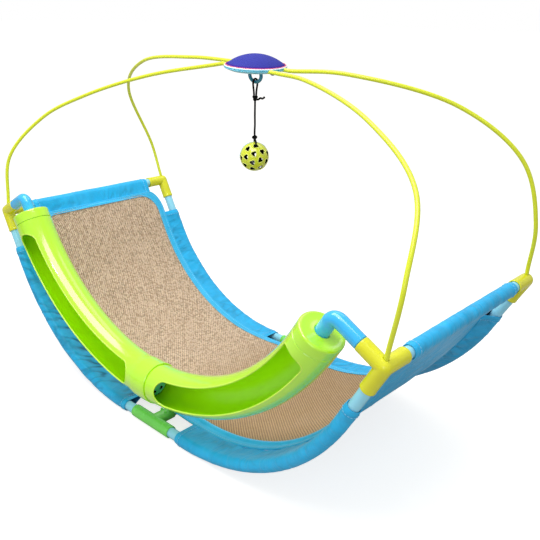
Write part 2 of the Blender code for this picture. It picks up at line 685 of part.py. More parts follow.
def smooth_curve(points, steps):
    """Centripetal Catmull-Rom curve through points."""
    ends = [points[0] * 2 - points[1]] + list(points) + [points[-1] * 2 - points[-2]]
    knots = [0.0]
    for before, after in zip(ends, ends[1:]):
        knots.append(knots[-1] + math.sqrt((after - before).length))
    out = []
    for i in range(1, len(ends) - 2):
        t0, t1, t2, t3 = knots[i - 1:i + 3]
        p0, p1, p2, p3 = ends[i - 1:i + 3]
        for k in range(steps):
            t = t1 + (t2 - t1) * k / steps
            a1 = p0.lerp(p1, (t - t0) / (t1 - t0))
            a2 = p1.lerp(p2, (t - t1) / (t2 - t1))
            a3 = p2.lerp(p3, (t - t2) / (t3 - t2))
            b1 = a1.lerp(a2, (t - t0) / (t2 - t0))
            b2 = a2.lerp(a3, (t - t1) / (t3 - t1))
            out.append(b1.lerp(b2, (t - t1) / (t2 - t1)))
    return out + [points[-1]]


def build_rods():
    """One rod in front and one behind, each from corner to corner through the hub."""
    for front, name in ((True, "front_rod"), (False, "back_rod")):
        left, right = rod_quarter(-1.0, front), rod_quarter(1.0, front)
        points = [left[0]] + smooth_curve(left[1:], ROD_STEPS) + smooth_curve(right[:0:-1], ROD_STEPS) + [right[0]]
        bar(name, points, ROD_RADIUS, ROD_SIDES, "rod", twist="MINIMUM")


def build_hub():
    """Base with an eye, rivets, a rim and a crowned disc, clamped over the rods."""
    place = hub_matrix()
    lower, upper = -HUB_BASE_DEPTH, HUB_TOP_EDGE
    edge = HUB_EDGE_ROUND
    base = turned("hub_base", [(0.0, -GAP / 2), (HUB_RADIUS, -GAP / 2), (HUB_RADIUS, -HUB_BASE_EDGE),
                               (HUB_RADIUS - HUB_BASE_CONE, lower), (0.0, lower)], HUB_STEPS, "hub_base", place)
    eye_centre = Vector((0.0, 0.0, -EYE_DROP))
    ring = [place @ (eye_centre + Vector((EYE_HALF_WIDTH * math.cos(a), 0.0, EYE_RADIUS * math.sin(a))))
            for a in (2 * math.pi * i / EYE_STEPS for i in range(EYE_STEPS))]
    eye = bar("hub_eye", ring, EYE_WIRE_RADIUS, EYE_SIDES, cyclic=True, caps=False, twist="MINIMUM")
    rim_round = arc_points((HUB_RADIUS - edge, upper - edge), edge, math.pi / 2, 0.0, 3)
    seat = HUB_RADIUS - HUB_DISC_INSET
    top = turned("hub_top", [(0.0, upper - HUB_DISC_EDGE), (seat, upper - HUB_DISC_EDGE), (seat, upper)] + rim_round
                 + [(HUB_RADIUS, GAP / 2), (0.0, GAP / 2)], HUB_STEPS, "hub_top", place)
    disc_low = upper - HUB_DISC_EDGE + GAP
    disc_radius = seat - GAP
    crown = HUB_CROWN
    dome_radius = (disc_radius ** 2 + crown ** 2) / (2 * crown)
    dome = [(disc_radius * i / 6, upper + crown - dome_radius + math.sqrt(dome_radius ** 2 - (disc_radius * i / 6) ** 2))
            for i in range(7)]
    smooth(turned("hub_disc", dome + [(disc_radius, disc_low), (0.0, disc_low)], HUB_STEPS, "hub_disc", place))
    bores = []
    for front, sign in ((True, -1.0), (False, 1.0)):
        origin = place @ Vector((-ROD_HUB_STRAIGHT, sign * ROD_SPACING / 2, -ROD_HUB_SINK))
        axis = place.to_3x3() @ Vector((1.0, 0.0, 0.0))
        bores.append(cylinder(f"hub_rod_bore_{int(sign)}", origin, axis, 2 * ROD_HUB_STRAIGHT,
                              polygon_radius(ROD_RADIUS + GAP, ROD_SIDES), sides=ROD_SIDES))
    for side, name in ((-1.0, "hub_rivet_left"), (1.0, "hub_rivet_right")):
        head_top = lower - GAP
        tip = head_top - RIVET_HEAD
        profile = [(0.0, RIVET_LENGTH + lower), (RIVET_RADIUS, RIVET_LENGTH + lower), (RIVET_RADIUS, head_top),
                   (RIVET_HEAD_RADIUS, head_top), (RIVET_HEAD_RADIUS * 0.55, tip), (0.0, tip)]
        seat_matrix = place @ Matrix.Translation((side * (HUB_RADIUS - RIVET_INSET), 0.0, 0.0))
        smooth(turned(name, profile, 12, "rivet", seat_matrix))
        down = place.to_3x3() @ Vector((0.0, 0.0, -1.0))
        bores.append(cylinder(name + "_bore", seat_matrix @ Vector((0.0, 0.0, RIVET_LENGTH + lower + GAP)), down,
                              2 * RIVET_LENGTH, polygon_radius(RIVET_RADIUS + GAP, 12), sides=12))
    combine(base, [eye], "UNION")
    combine(base, bores, "DIFFERENCE")
    combine(top, bores, "DIFFERENCE")
    smooth(base)
    smooth(top)


def eye_bottom():
    """Middle of the eye's lowest stretch of wire, which the cord hangs on."""
    return hub_matrix() @ Vector((0.0, 0.0, -EYE_DROP - EYE_RADIUS))


def build_cord():
    """Cord of the toy: a loop on the eye with its knot and tail, then a strand down to the ball."""
    hang = eye_bottom()
    knot = hang - Vector((0.0, 0.0, LOOP_LENGTH))
    round_wire = polygon_radius(EYE_WIRE_RADIUS + GAP, EYE_SIDES) + CORD_RADIUS
    loop = [hang + Vector((0.0, round_wire * math.cos(a), round_wire * math.sin(a)))
            for a in (math.pi * i / 8 for i in range(9))]
    side_points = [hang + Vector((0.0, -round_wire * share, -LOOP_LENGTH * drop))
                   for share, drop in ((0.92, 0.25), (0.70, 0.55), (0.35, 0.85))]
    mirrored = [Vector((p.x, 2 * hang.y - p.y, p.z)) for p in reversed(side_points)]
    points = [knot] + mirrored + loop + side_points
    upper = bar("cord_loop", points, CORD_RADIUS, CORD_SIDES, "cord", cyclic=True, caps=False, twist="MINIMUM")
    tail_end = knot + Vector((TAIL_LENGTH * 0.75, -TAIL_LENGTH * 0.62, CORD_RADIUS))
    middle = knot.lerp(tail_end, 0.5) - Vector((0.0, 0.0, 2 * CORD_RADIUS))
    tail = bar("cord_tail", smooth_curve([knot, middle, tail_end], 2), CORD_RADIUS, CORD_SIDES, twist="MINIMUM")
    combine(upper, [sphere("upper_knot", knot, KNOT_RADIUS, sides=10), tail], "UNION")
    below = knot - Vector((0.0, 0.0, KNOT_RADIUS + GAP))
    lower_knot = knot - Vector((0.0, 0.0, STRAND_LENGTH))
    strand = bar("cord_strand", [below, lower_knot], CORD_RADIUS, CORD_SIDES, "cord", twist="MINIMUM")
    ball = lower_knot - Vector((0.0, 0.0, TOY_BALL_DROP))
    legs = []
    for index, hole in enumerate(cord_holes(ball)):
        away = (hole - ball).normalized()
        lean = (Vector((0.0, 0.0, 1.0)) - away * away.z).normalized() * CORD_LEAN
        outside = hole + away * CORD_STANDOFF + lean
        inside = hole - away * CORD_STANDOFF + lean
        legs.append(bar(f"cord_leg_{index}", smooth_curve([lower_knot, outside, inside], 3), CORD_RADIUS, CORD_SIDES,
                        twist="MINIMUM"))
    combine(strand, [sphere("lower_knot", lower_knot, KNOT_RADIUS * 0.9, sides=10)] + legs, "UNION")
    return ball


def ball_hole_directions():
    """Directions of a half's holes: one at the pole and a ring round it."""
    ring = [(math.sin(BALL_HOLE_RING) * math.cos(a), math.sin(BALL_HOLE_RING) * math.sin(a), math.cos(BALL_HOLE_RING))
            for a in (2 * math.pi * (i + 0.5) / BALL_HOLES for i in range(BALL_HOLES))]
    return [Vector((0.0, 0.0, 1.0))] + [Vector(d) for d in ring]


def toy_ball_frame(centre):
    """Placement of the hanging ball: its seam stands upright, its green half faces front and right."""
    return frame_along(centre, (0.78, -0.62, 0.0), across=(0.0, 0.0, 1.0))


def cord_holes(ball):
    """The topmost hole of each half, which the cord passes through."""
    found = []
    for flip in (1.0, -1.0):
        turn = toy_ball_frame(ball).to_3x3()
        world = [turn @ Vector((d.x, d.y, d.z * flip)) for d in ball_hole_directions()]
        found.append(ball + max(world, key=lambda d: d.z) * BALL_RADIUS)
    return found


def build_ball(names, materials, matrix):
    """Hollow ball of two halves with round holes."""
    outer = [(BALL_RADIUS * math.sin(a), BALL_RADIUS * math.cos(a))
             for a in (math.pi / 2 * i / BALL_RINGS for i in range(BALL_RINGS + 1))]
    inner = [(BALL_INNER_RADIUS * math.sin(a), BALL_INNER_RADIUS * math.cos(a))
             for a in (math.pi / 2 * i / BALL_RINGS for i in range(BALL_RINGS, -1, -1))]
    profile = [(x, max(z, GAP / 2)) for x, z in outer + inner]
    profile[0] = (0.0, BALL_RADIUS)
    profile[-1] = (0.0, BALL_INNER_RADIUS)
    flipped = Matrix.Rotation(math.pi, 4, "X")
    for name, material, turn in zip(names, materials, (Matrix.Identity(4), flipped)):
        half = turned(name, profile, BALL_STEPS, material, matrix @ turn)
        holes = []
        for index, direction in enumerate(ball_hole_directions()):
            across = Vector((direction.x, direction.y * (-1.0 if turn is flipped else 1.0), direction.z))
            world = (matrix @ turn).to_3x3() @ across
            start = matrix.translation + world * (BALL_RADIUS * 0.6)
            holes.append(cylinder(f"{name}_hole_{index}", start, world, BALL_RADIUS * 0.6, BALL_HOLE_RADIUS,
                                  sides=BALL_HOLE_SIDES))
        combine(half, holes, "DIFFERENCE")
        smooth(half)


def build_bell(name, ball_centre):
    """Small round bell lying loose in the bottom of a ball, with a slot below."""
    centre = ball_centre - Vector((0.0, 0.0, BALL_INNER_RADIUS - BELL_RADIUS - BALL_GAP))
    shell = sphere(name, centre, BELL_RADIUS, sides=10, material="bell")
    hollow = sphere(name + "_hollow", centre, BELL_RADIUS - BELL_WALL, sides=10)
    slot = box(name + "_slot", Matrix.Translation(centre - Vector((0.0, 0.0, BELL_RADIUS))),
               (2.4 * BELL_RADIUS, BELL_SLOT, 1.2 * BELL_RADIUS))
    combine(shell, [hollow, slot], "DIFFERENCE")


def build_balls():
    """The hanging ball and the ball in the track, each with its bell."""
    toy_centre = build_cord()
    build_ball(("toy_ball_front", "toy_ball_back"), ("ball_green", "ball_blue"), toy_ball_frame(toy_centre))
    build_bell("toy_bell", toy_centre)
    seat = TRACK_ARC_RADIUS + (TRACK_NECK_RADIUS - TRACK_WALL) - BALL_RADIUS - BALL_SEAT
    rolling = track_point(0.0, radius=seat)
    turn = frame_along(rolling, (-0.92, -0.38, 0.0), across=(0.0, 0.0, 1.0))
    build_ball(("track_ball_left", "track_ball_right"), ("ball_green", "ball_blue"), turn)
    build_bell("track_bell", rolling)


def loft(name, rings, inner_rings, material):
    """Fabric pocket: an outer and an inner skin joined at both mouths."""
    work = bmesh.new()
    skins = []
    for skin in (rings, inner_rings):
        skins.append([[work.verts.new(point) for point in ring] for ring in skin])
    count = len(rings[0])

    def bridge(first, second):
        for i in range(count):
            j = (i + 1) % count
            work.faces.new((first[i], first[j], second[j], second[i]))

    for skin in skins:
        for before, after in zip(skin, skin[1:]):
            bridge(before, after)
    bridge(skins[0][0], skins[1][0])
    bridge(skins[0][-1], skins[1][-1])
    bmesh.ops.recalc_face_normals(work, faces=work.faces)
    mesh = bpy.data.meshes.new(name)
    work.to_mesh(mesh)
    work.free()
    return smooth(add_object(name, mesh, material), 50.0)


def pocket_section(depth, shrink):
    """Section of a pocket, inward and up: flat on top as far as its seam, and round the tube below."""
    inner = (TUBE_RADIUS + SLEEVE_EASE) / math.cos(math.radians(19.0))
    outer = inner + SLEEVE_WALL
    seam_low = outer - SLEEVE_SEAM_THICKNESS
    reach = math.hypot(depth, seam_low)
    last = math.radians(360.0) + math.atan2(seam_low, depth) - math.acos(outer / reach)
    first = math.pi / 2
    angles = [first + (last - first) * i / (SLEEVE_ARC_POINTS - 1) for i in range(SLEEVE_ARC_POINTS)]
    arc = [((outer - shrink) * math.cos(a), (outer - shrink) * math.sin(a)) for a in angles]
    return arc + [(depth - shrink, seam_low + shrink), (depth - shrink, outer - shrink)]


def build_sleeves():
    """Fabric pockets round the rails and round the end cross tubes."""
    for side, side_name in ((-1.0, "left"), (1.0, "right")):
        for front, depth_name in ((True, "front"), (False, "back")):
            inward = Vector((0.0, 1.0 if front else -1.0, 0.0))
            shift = Vector((0.0, side_y(front), 0.0))
            stations = rail_stations(SIDE_SLEEVE_START, RAIL_HALF_LENGTH - SIDE_SLEEVE_CORNER)
            skins = []
            for shrink in (0.0, SLEEVE_WALL):
                section = pocket_section(SIDE_SLEEVE_DEPTH, shrink)
                skin = []
                for s in stations:
                    place, _, normal = rail_point(side * s)
                    skin.append([place + shift + inward * a + normal * b for a, b in section])
                skins.append(skin)
            loft(f"{depth_name}_sleeve_{side_name}", skins[0], skins[1], "fabric")
        place, direction, normal = rail_point(side * RAIL_HALF_LENGTH)
        ends = [side_y(True) + END_SLEEVE_CORNER, side_y(False) - END_SLEEVE_CORNER]
        skins = []
        for shrink in (0.0, SLEEVE_WALL):
            section = pocket_section(END_SLEEVE_DEPTH, shrink)
            skins.append([[Vector((place.x, y, place.z)) + direction * (-side * a) + normal * b for a, b in section]
                          for y in (ends[0], (ends[0] + ends[1]) / 2, ends[1])])
        loft(f"{side_name}_end_sleeve", skins[0], skins[1], "fabric")


def sheet_rows(half_length):
    """Distances of a sheet's rows: over the cross tube, round the bend and round the corners of both sheets."""
    mat_length = SLING_HALF_LENGTH - MAT_END_INSET
    half = [SLING_LIFT_SPAN * i / LIFT_ROWS for i in range(LIFT_ROWS + 1)]
    half += rail_stations(RAIL_STRAIGHT, mat_length - MAT_CORNER_LENGTH)[:-1]
    for end, corner in ((SLING_HALF_LENGTH, SLING_CORNER_LENGTH), (mat_length, MAT_CORNER_LENGTH)):
        half += [end - corner * (1.0 - math.sin(math.pi / 2 * i / CORNER_ROWS)) for i in range(CORNER_ROWS + 1)]
    half = sorted(s for s in half if s < half_length + 1e-6)
    half = [s for i, s in enumerate(half) if i == 0 or s - half[i - 1] > 1e-4]
    return [-s for s in reversed(half[1:])] + half


def sheet_place(distance, y, height):
    """Point of the sling's surface, level with its seams and over the cross tube, sagging between."""
    place, _, normal = rail_point(distance)
    held = 0.0
    if abs(distance) < SLING_LIFT_SPAN:
        held = math.cos(math.pi / 2 * distance / SLING_LIFT_SPAN) ** 2
    across = 1.0 - (y / SLING_HALF_WIDTH) ** 2
    along = max(1.0 - (distance / SLING_HALF_LENGTH) ** 4, 0.0)
    offset = SLING_HEIGHT + height + SLING_LIFT * held - SLING_SAG * across * along * (1.0 - held)
    return place + normal * offset + Vector((0.0, y + CENTRE_SHIFT, 0.0))


def build_sheet(name, half_size, corner_size, height, thickness, material):
    """Curved sheet with rounded corners, from a flat grid."""
    half_length, half_width = half_size
    corner_length, corner_width = corner_size
    rows = sheet_rows(half_length)
    work = bmesh.new()
    bmesh.ops.create_grid(work, x_segments=len(rows) - 1, y_segments=SHEET_COLUMNS, size=0.5)
    for vert in work.verts:
        row = round((vert.co.x + 0.5) * (len(rows) - 1))
        distance = rows[row]
        past = max(abs(distance) - (half_length - corner_length), 0.0) / corner_length
        width = half_width - corner_width * (1.0 - math.sqrt(max(1.0 - past ** 2, 0.0)))
        vert.co = sheet_place(distance, 2 * vert.co.y * width, height)
    mesh = bpy.data.meshes.new(name)
    work.to_mesh(mesh)
    work.free()
    sheet = smooth(add_object(name, mesh, material), 60.0)
    solidify = sheet.modifiers.new("thickness", "SOLIDIFY")
    solidify.thickness = thickness
    solidify.offset = 0.0
    solidify.use_even_offset = True
    return sheet


def build_fabric():
    """Sling panel with the woven mat on top."""
    build_sleeves()
    build_sheet("sling", (SLING_HALF_LENGTH, SLING_HALF_WIDTH), (SLING_CORNER_LENGTH, SLING_CORNER_WIDTH), 0.0,
                SLING_THICKNESS, "fabric")
    mat_size = (SLING_HALF_LENGTH - MAT_END_INSET, SLING_HALF_WIDTH - MAT_SIDE_INSET)
    mat_height = SLING_THICKNESS / 2 + SHEET_GAP + MAT_THICKNESS / 2
    build_sheet("scratch_mat", mat_size, (MAT_CORNER_LENGTH, MAT_CORNER_WIDTH), mat_height, MAT_THICKNESS, "mat")


def main():
    """Build the bed, sub-part by sub-part."""
    build_rails()
    build_cross_tubes()
    for front in (True, False):
        build_tee(front)
        for side in (-1.0, 1.0):
            build_corner(side, front)
    for side in (-1.0, 1.0):
        build_elbow(side)
        build_cap(side)
    build_track()
    build_rods()
    build_hub()
    build_balls()
    build_fabric()


main()
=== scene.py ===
"""Cat scratcher bed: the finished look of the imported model, in its own frame.

Metres, +Z up, +X along the bed, -Y towards the side with the ball track. Every sub-assembly is
a class that holds its sizes, builds its meshes and dresses them with the finishes of FinishSet.
"""
import bisect
import logging
from dataclasses import dataclass, field
from enum import Enum
from math import acos, atan2, copysign, cos, dist, exp, hypot, pi, radians, sin, sqrt, tan
from typing import Callable, Optional, Sequence, Union

import bmesh
import bpy
from mathutils import Matrix, Vector, noise


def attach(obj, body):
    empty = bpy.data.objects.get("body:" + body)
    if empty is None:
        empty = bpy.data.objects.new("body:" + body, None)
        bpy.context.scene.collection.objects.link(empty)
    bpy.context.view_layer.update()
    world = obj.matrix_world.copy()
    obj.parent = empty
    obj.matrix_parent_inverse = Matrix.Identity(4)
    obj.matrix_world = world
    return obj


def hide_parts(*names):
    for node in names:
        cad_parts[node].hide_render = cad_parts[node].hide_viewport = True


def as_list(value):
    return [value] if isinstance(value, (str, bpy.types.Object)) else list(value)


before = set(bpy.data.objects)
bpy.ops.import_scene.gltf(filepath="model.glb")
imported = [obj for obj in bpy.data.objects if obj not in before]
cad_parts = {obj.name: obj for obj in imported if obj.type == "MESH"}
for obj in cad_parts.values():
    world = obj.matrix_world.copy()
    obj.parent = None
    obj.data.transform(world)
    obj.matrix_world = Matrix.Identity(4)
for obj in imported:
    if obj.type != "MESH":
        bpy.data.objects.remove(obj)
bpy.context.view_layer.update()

LOG = logging.getLogger("cat_scratcher_bed")
Pair = tuple[float, float]
Profile = Sequence[Pair]
FinishOf = Optional[Callable[[int, int], int]]
Object, Material = bpy.types.Object, bpy.types.Material
Tree, Node, Socket = bpy.types.NodeTree, bpy.types.Node, bpy.types.NodeSocket


class Body(Enum):
    """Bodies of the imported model."""

    FRAME = "frame"
    TRACK_BALL = "track_ball"
    TOY_LOOP = "toy_loop"
    TOY = "toy"


class Slot(Enum):
    """Material slots of the record."""

    TUBE = "tube"
    CONNECTOR = "connector"
    TEE = "tee"
    ELBOW = "elbow"
    TRACK = "track"
    ROD = "rod"
    HUB_BASE = "hub_base"
    HUB_TOP = "hub_top"
    HUB_DISC = "hub_disc"
    RIVET = "rivet"
    CORD = "cord"
    BALL_GREEN = "ball_green"
    BALL_BLUE = "ball_blue"
    BELL = "bell"
    FABRIC = "fabric"
    MAT = "mat"


# ---------------------------------------------------------------- node trees


def put(tree: Tree, kind: str, inputs: Optional[dict] = None, **settings: object) -> Node:
    """Add a node to a tree.

    Args:
        tree: the tree to add to.
        kind: the node's type name.
        inputs: values or sockets for its inputs, by name or number.
        **settings: properties of the node itself.

    Returns:
        The new node.
    """
    node = tree.nodes.new(kind)
    for key, value in settings.items():
        setattr(node, key, value)
    for key, value in (inputs or {}).items():
        if isinstance(value, Socket):
            tree.links.new(value, node.inputs[key])
        else:
            node.inputs[key].default_value = value
    return node


def maths(tree: Tree, operation: str, *values: Union[float, Socket]) -> Socket:
    """A Math node's result.

    Args:
        tree: the tree to add to.
        operation: the sum to do.
        *values: its numbers or sockets, in order.

    Returns:
        The result's socket.
    """
    return put(tree, "ShaderNodeMath", dict(enumerate(values)), operation=operation).outputs[0]


def ramp(tree: Tree, value: Socket, low: float, high: float, to_low: float = 0.0, to_high: float = 1.0) -> Socket:
    """A value moved from one range to another and kept within it.

    Args:
        tree: the tree to add to.
        value: the value to move.
        low: start of its own range.
        high: end of its own range.
        to_low: result at the start.
        to_high: result at the end.

    Returns:
        The result's socket.
    """
    return put(tree, "ShaderNodeMapRange", {0: value, 1: low, 2: high, 3: to_low, 4: to_high},
               interpolation_type="SMOOTHSTEP").outputs[0]


def clouds(tree: Tree, place: Socket, scale: Union[float, Socket], detail: float, **more: float) -> Socket:
    """A noise texture's value.

    Args:
        tree: the tree to add to.
        place: where to read it.
        scale: how close its spots lie.
        detail: how fine it gets.
        **more: its other inputs.

    Returns:
        The value's socket.
    """
    inputs = {"Vector": place, "Scale": scale, "Detail": detail, **more}
    return put(tree, "ShaderNodeTexNoise", inputs).outputs["Fac"]


def blend_colour(tree: Tree, share: Union[float, Socket], first: object, second: object) -> Socket:
    """Two colours mixed.

    Args:
        tree: the tree to add to.
        share: share of the second colour.
        first: colour or socket.
        second: colour or socket.

    Returns:
        The mixed colour's socket.
    """
    node = put(tree, "ShaderNodeMix", {0: share, 6: first, 7: second}, data_type="RGBA")
    return node.outputs[2]


def new_group(name: str, inputs: Sequence[tuple[str, str, object]], outputs: Sequence[tuple[str, str]]
              ) -> tuple[Tree, dict[str, Socket], Node]:
    """Start a shader node group.

    Args:
        name: its name.
        inputs: name, socket kind and default value of each input.
        outputs: name and socket kind of each output.

    Returns:
        The tree, its inputs by name, and the node that takes its outputs.
    """
    tree = bpy.data.node_groups.new(name, "ShaderNodeTree")
    for label, kind, value in inputs:
        socket = tree.interface.new_socket(label, in_out="INPUT", socket_type=f"NodeSocket{kind}")
        if value is not None:
            socket.default_value = value
    for label, kind in outputs:
        tree.interface.new_socket(label, in_out="OUTPUT", socket_type=f"NodeSocket{kind}")
    given = tree.nodes.new("NodeGroupInput")
    return tree, {label: given.outputs[label] for label, _, _ in inputs}, tree.nodes.new("NodeGroupOutput")


def srgb(red: float, green: float, blue: float) -> tuple[float, float, float, float]:
    """A colour of 0 to 255 as the shader reads it."""
    def channel(value: float) -> float:
        value /= 255.0
        return value / 12.92 if value <= 0.04045 else ((value + 0.055) / 1.055) ** 2.4
    return channel(red), channel(green), channel(blue), 1.0


def scaled(colour: tuple[float, float, float, float], factor: float) -> tuple[float, float, float, float]:
    """A colour made lighter or darker, up to white."""
    return min(colour[0] * factor, 1.0), min(colour[1] * factor, 1.0), min(colour[2] * factor, 1.0), 1.0


# ---------------------------------------------------------------- effects shared by finishes


class Effects:
    """Shader node groups that more than one finish uses."""

    def __init__(self) -> None:
        """Build every group once."""
        self.moulding = self.moulding_group()
        self.edges = self.wear_and_corner_shade_group()
        self.weave = self.weave_group()
        self.creases = self.crease_group()

    @staticmethod
    def moulding_group() -> Tree:
        """Cloudy shade, uneven gloss, fine grain and hair scratches of moulded plastic."""
        tree, given, result = new_group(
            "moulding_marks",
            (("Cloud Size", "Float", 60.0), ("Grain Size", "Float", 900.0), ("Scratches", "Float", 0.25)),
            (("Cloud", "Float"), ("Gloss", "Float"), ("Height", "Float")))
        place = put(tree, "ShaderNodeTexCoord").outputs["Object"]
        cloud = clouds(tree, place, given["Cloud Size"], 3.0)
        grain = clouds(tree, place, given["Grain Size"], 2.0)
        stretched = put(tree, "ShaderNodeMapping", {"Vector": place, "Scale": (30.0, 420.0, 260.0),
                                                    "Rotation": (0.3, 0.5, 0.2)})
        hairs = clouds(tree, stretched.outputs[0], 4.0, 4.0)
        scratch = ramp(tree, hairs, 0.66, 0.74)
        marks = maths(tree, "MULTIPLY", scratch, given["Scratches"])
        tree.links.new(cloud, result.inputs["Cloud"])
        tree.links.new(maths(tree, "ADD", maths(tree, "MULTIPLY", cloud, 0.5), marks), result.inputs["Gloss"])
        tree.links.new(maths(tree, "SUBTRACT", grain, marks), result.inputs["Height"])
        return tree

    @staticmethod
    def wear_and_corner_shade_group() -> Tree:
        """Mask of rubbed edges, broken up by noise, and of inner corners, where shade is painted."""
        tree, given, result = new_group("rubbed_edges_and_corner_shade", (("Breakup Size", "Float", 120.0),),
                                        (("Edge", "Float"), ("Corner", "Float")))
        place = put(tree, "ShaderNodeTexCoord").outputs["Object"]
        sharp = put(tree, "ShaderNodeNewGeometry").outputs["Pointiness"]
        patchy = clouds(tree, place, given["Breakup Size"], 3.0)
        rubbed = maths(tree, "MULTIPLY", ramp(tree, sharp, 0.52, 0.62), ramp(tree, patchy, 0.3, 0.7))
        tree.links.new(rubbed, result.inputs["Edge"])
        tree.links.new(ramp(tree, sharp, 0.48, 0.40), result.inputs["Corner"])
        return tree

    @staticmethod
    def weave_group() -> Tree:
        """Plain weave of crossing threads on a UV map in metres."""
        tree, given, result = new_group(
            "plain_weave", (("Vector", "Vector", None), ("Pitch", "Float", 0.0009), ("Wobble", "Float", 0.15)),
            (("Shade", "Float"), ("Height", "Float")))
        drift = clouds(tree, given["Vector"], 160.0, 2.0)
        shift = maths(tree, "MULTIPLY", maths(tree, "SUBTRACT", drift, 0.5), given["Wobble"])
        parts = put(tree, "ShaderNodeSeparateXYZ", {0: given["Vector"]})
        waves = []
        for axis in ("X", "Y"):
            turns = maths(tree, "ADD", maths(tree, "DIVIDE", parts.outputs[axis], given["Pitch"]), shift)
            waves.append(maths(tree, "SINE", maths(tree, "MULTIPLY", turns, pi)))
        crossing = maths(tree, "MULTIPLY", waves[0], waves[1])
        crowns = maths(tree, "MAXIMUM", maths(tree, "ABSOLUTE", waves[0]), maths(tree, "ABSOLUTE", waves[1]))
        tree.links.new(ramp(tree, crossing, -1.0, 1.0), result.inputs["Shade"])
        tree.links.new(maths(tree, "ADD", maths(tree, "MULTIPLY", crossing, 0.5), crowns), result.inputs["Height"])
        return tree

    @staticmethod
    def crease_group() -> Tree:
        """Small soft creases and paler rubbed spots of handled cloth."""
        tree, given, result = new_group("handled_cloth", (("Vector", "Vector", None), ("Size", "Float", 26.0)),
                                        (("Height", "Float"), ("Rubbed", "Float")))
        pulled = put(tree, "ShaderNodeMapping", {"Vector": given["Vector"], "Scale": (1.0, 0.45, 1.0),
                                                 "Rotation": (0.0, 0.0, 0.6)})
        wrinkles = clouds(tree, pulled.outputs[0], given["Size"], 4.0, Distortion=0.6)
        ridge = maths(tree, "ABSOLUTE", maths(tree, "SUBTRACT", wrinkles, 0.5))
        patches = clouds(tree, given["Vector"], 18.0, 5.0)
        tree.links.new(ramp(tree, ridge, 0.0, 0.16, 1.0, 0.0), result.inputs["Height"])
        tree.links.new(ramp(tree, patches, 0.35, 0.75), result.inputs["Rubbed"])
        return tree


def start_material(name: str, **constants: float) -> tuple[Material, Tree, Node]:
    """New material with a Principled shader.

    Args:
        name: the material's name.
        **constants: numbers set on the shader's own sockets, with _ for a space.

    Returns:
        The material, its tree and its shader.
    """
    material = bpy.data.materials.new(name)
    material.use_nodes = True
    tree = material.node_tree
    shader = tree.nodes["Principled BSDF"]
    for key, value in constants.items():
        shader.inputs[key.replace("_", " ")].default_value = value
    return material, tree, shader


def add_relief(tree: Tree, shader: Node, layers: Sequence[tuple[Socket, float, float]]) -> None:
    """Bump layers, one on another, on a shader's normal.

    Args:
        tree: the material's tree.
        shader: its shader.
        layers: height, distance in metres and strength of each layer.
    """
    normal = None
    for height, distance, strength in layers:
        inputs = {"Height": height, "Distance": distance, "Strength": strength}
        if normal is not None:
            inputs["Normal"] = normal
        normal = put(tree, "ShaderNodeBump", inputs).outputs[0]
    tree.links.new(normal, shader.inputs["Normal"])


@dataclass(frozen=True)
class MouldedPlastic:
    """Glossy injection-moulded plastic, with painted shade in its inner corners.

    Attributes:
        name: material name.
        colour: colour of 0 to 255.
        gloss: roughness of a clean spot.
        spread: how much the shade clouds over.
        wear: how much the edges are rubbed pale.
        coat: clear gloss on top.
        grain: height of the fine grain.
        shine: how strongly the surface reflects.
    """

    name: str
    colour: tuple[float, float, float]
    gloss: float = 0.26
    spread: float = 0.07
    wear: float = 0.18
    coat: float = 0.25
    grain: float = 0.000008
    shine: float = 0.5

    def material(self, effects: Effects) -> Material:
        """Build the material from the shared effects."""
        material, tree, shader = start_material(
            self.name, Coat_Weight=self.coat, Coat_Roughness=0.12, Coat_IOR=1.7, Specular_IOR_Level=self.shine)
        marks = put(tree, "ShaderNodeGroup", node_tree=effects.moulding)
        edges = put(tree, "ShaderNodeGroup", node_tree=effects.edges)
        base = srgb(*self.colour)
        clouded = blend_colour(tree, marks.outputs["Cloud"], scaled(base, 1.0 - self.spread),
                               scaled(base, 1.0 + self.spread))
        # Painted shade: the base colour darkened in inner corners.
        corner_shaded = blend_colour(tree, maths(tree, "MULTIPLY", edges.outputs["Corner"], 0.25), clouded, scaled(base, 0.62))
        pale = tuple(min(c * 0.75 + 0.25, 1.0) for c in base[:3]) + (1.0,)
        rubbed = blend_colour(tree, maths(tree, "MULTIPLY", edges.outputs["Edge"], self.wear), corner_shaded, pale)
        tree.links.new(rubbed, shader.inputs["Base Color"])
        tree.links.new(ramp(tree, marks.outputs["Gloss"], 0.1, 0.9, self.gloss - 0.06, self.gloss + 0.16),
                       shader.inputs["Roughness"])
        add_relief(tree, shader, ((marks.outputs["Height"], self.grain, 0.6),))
        return material


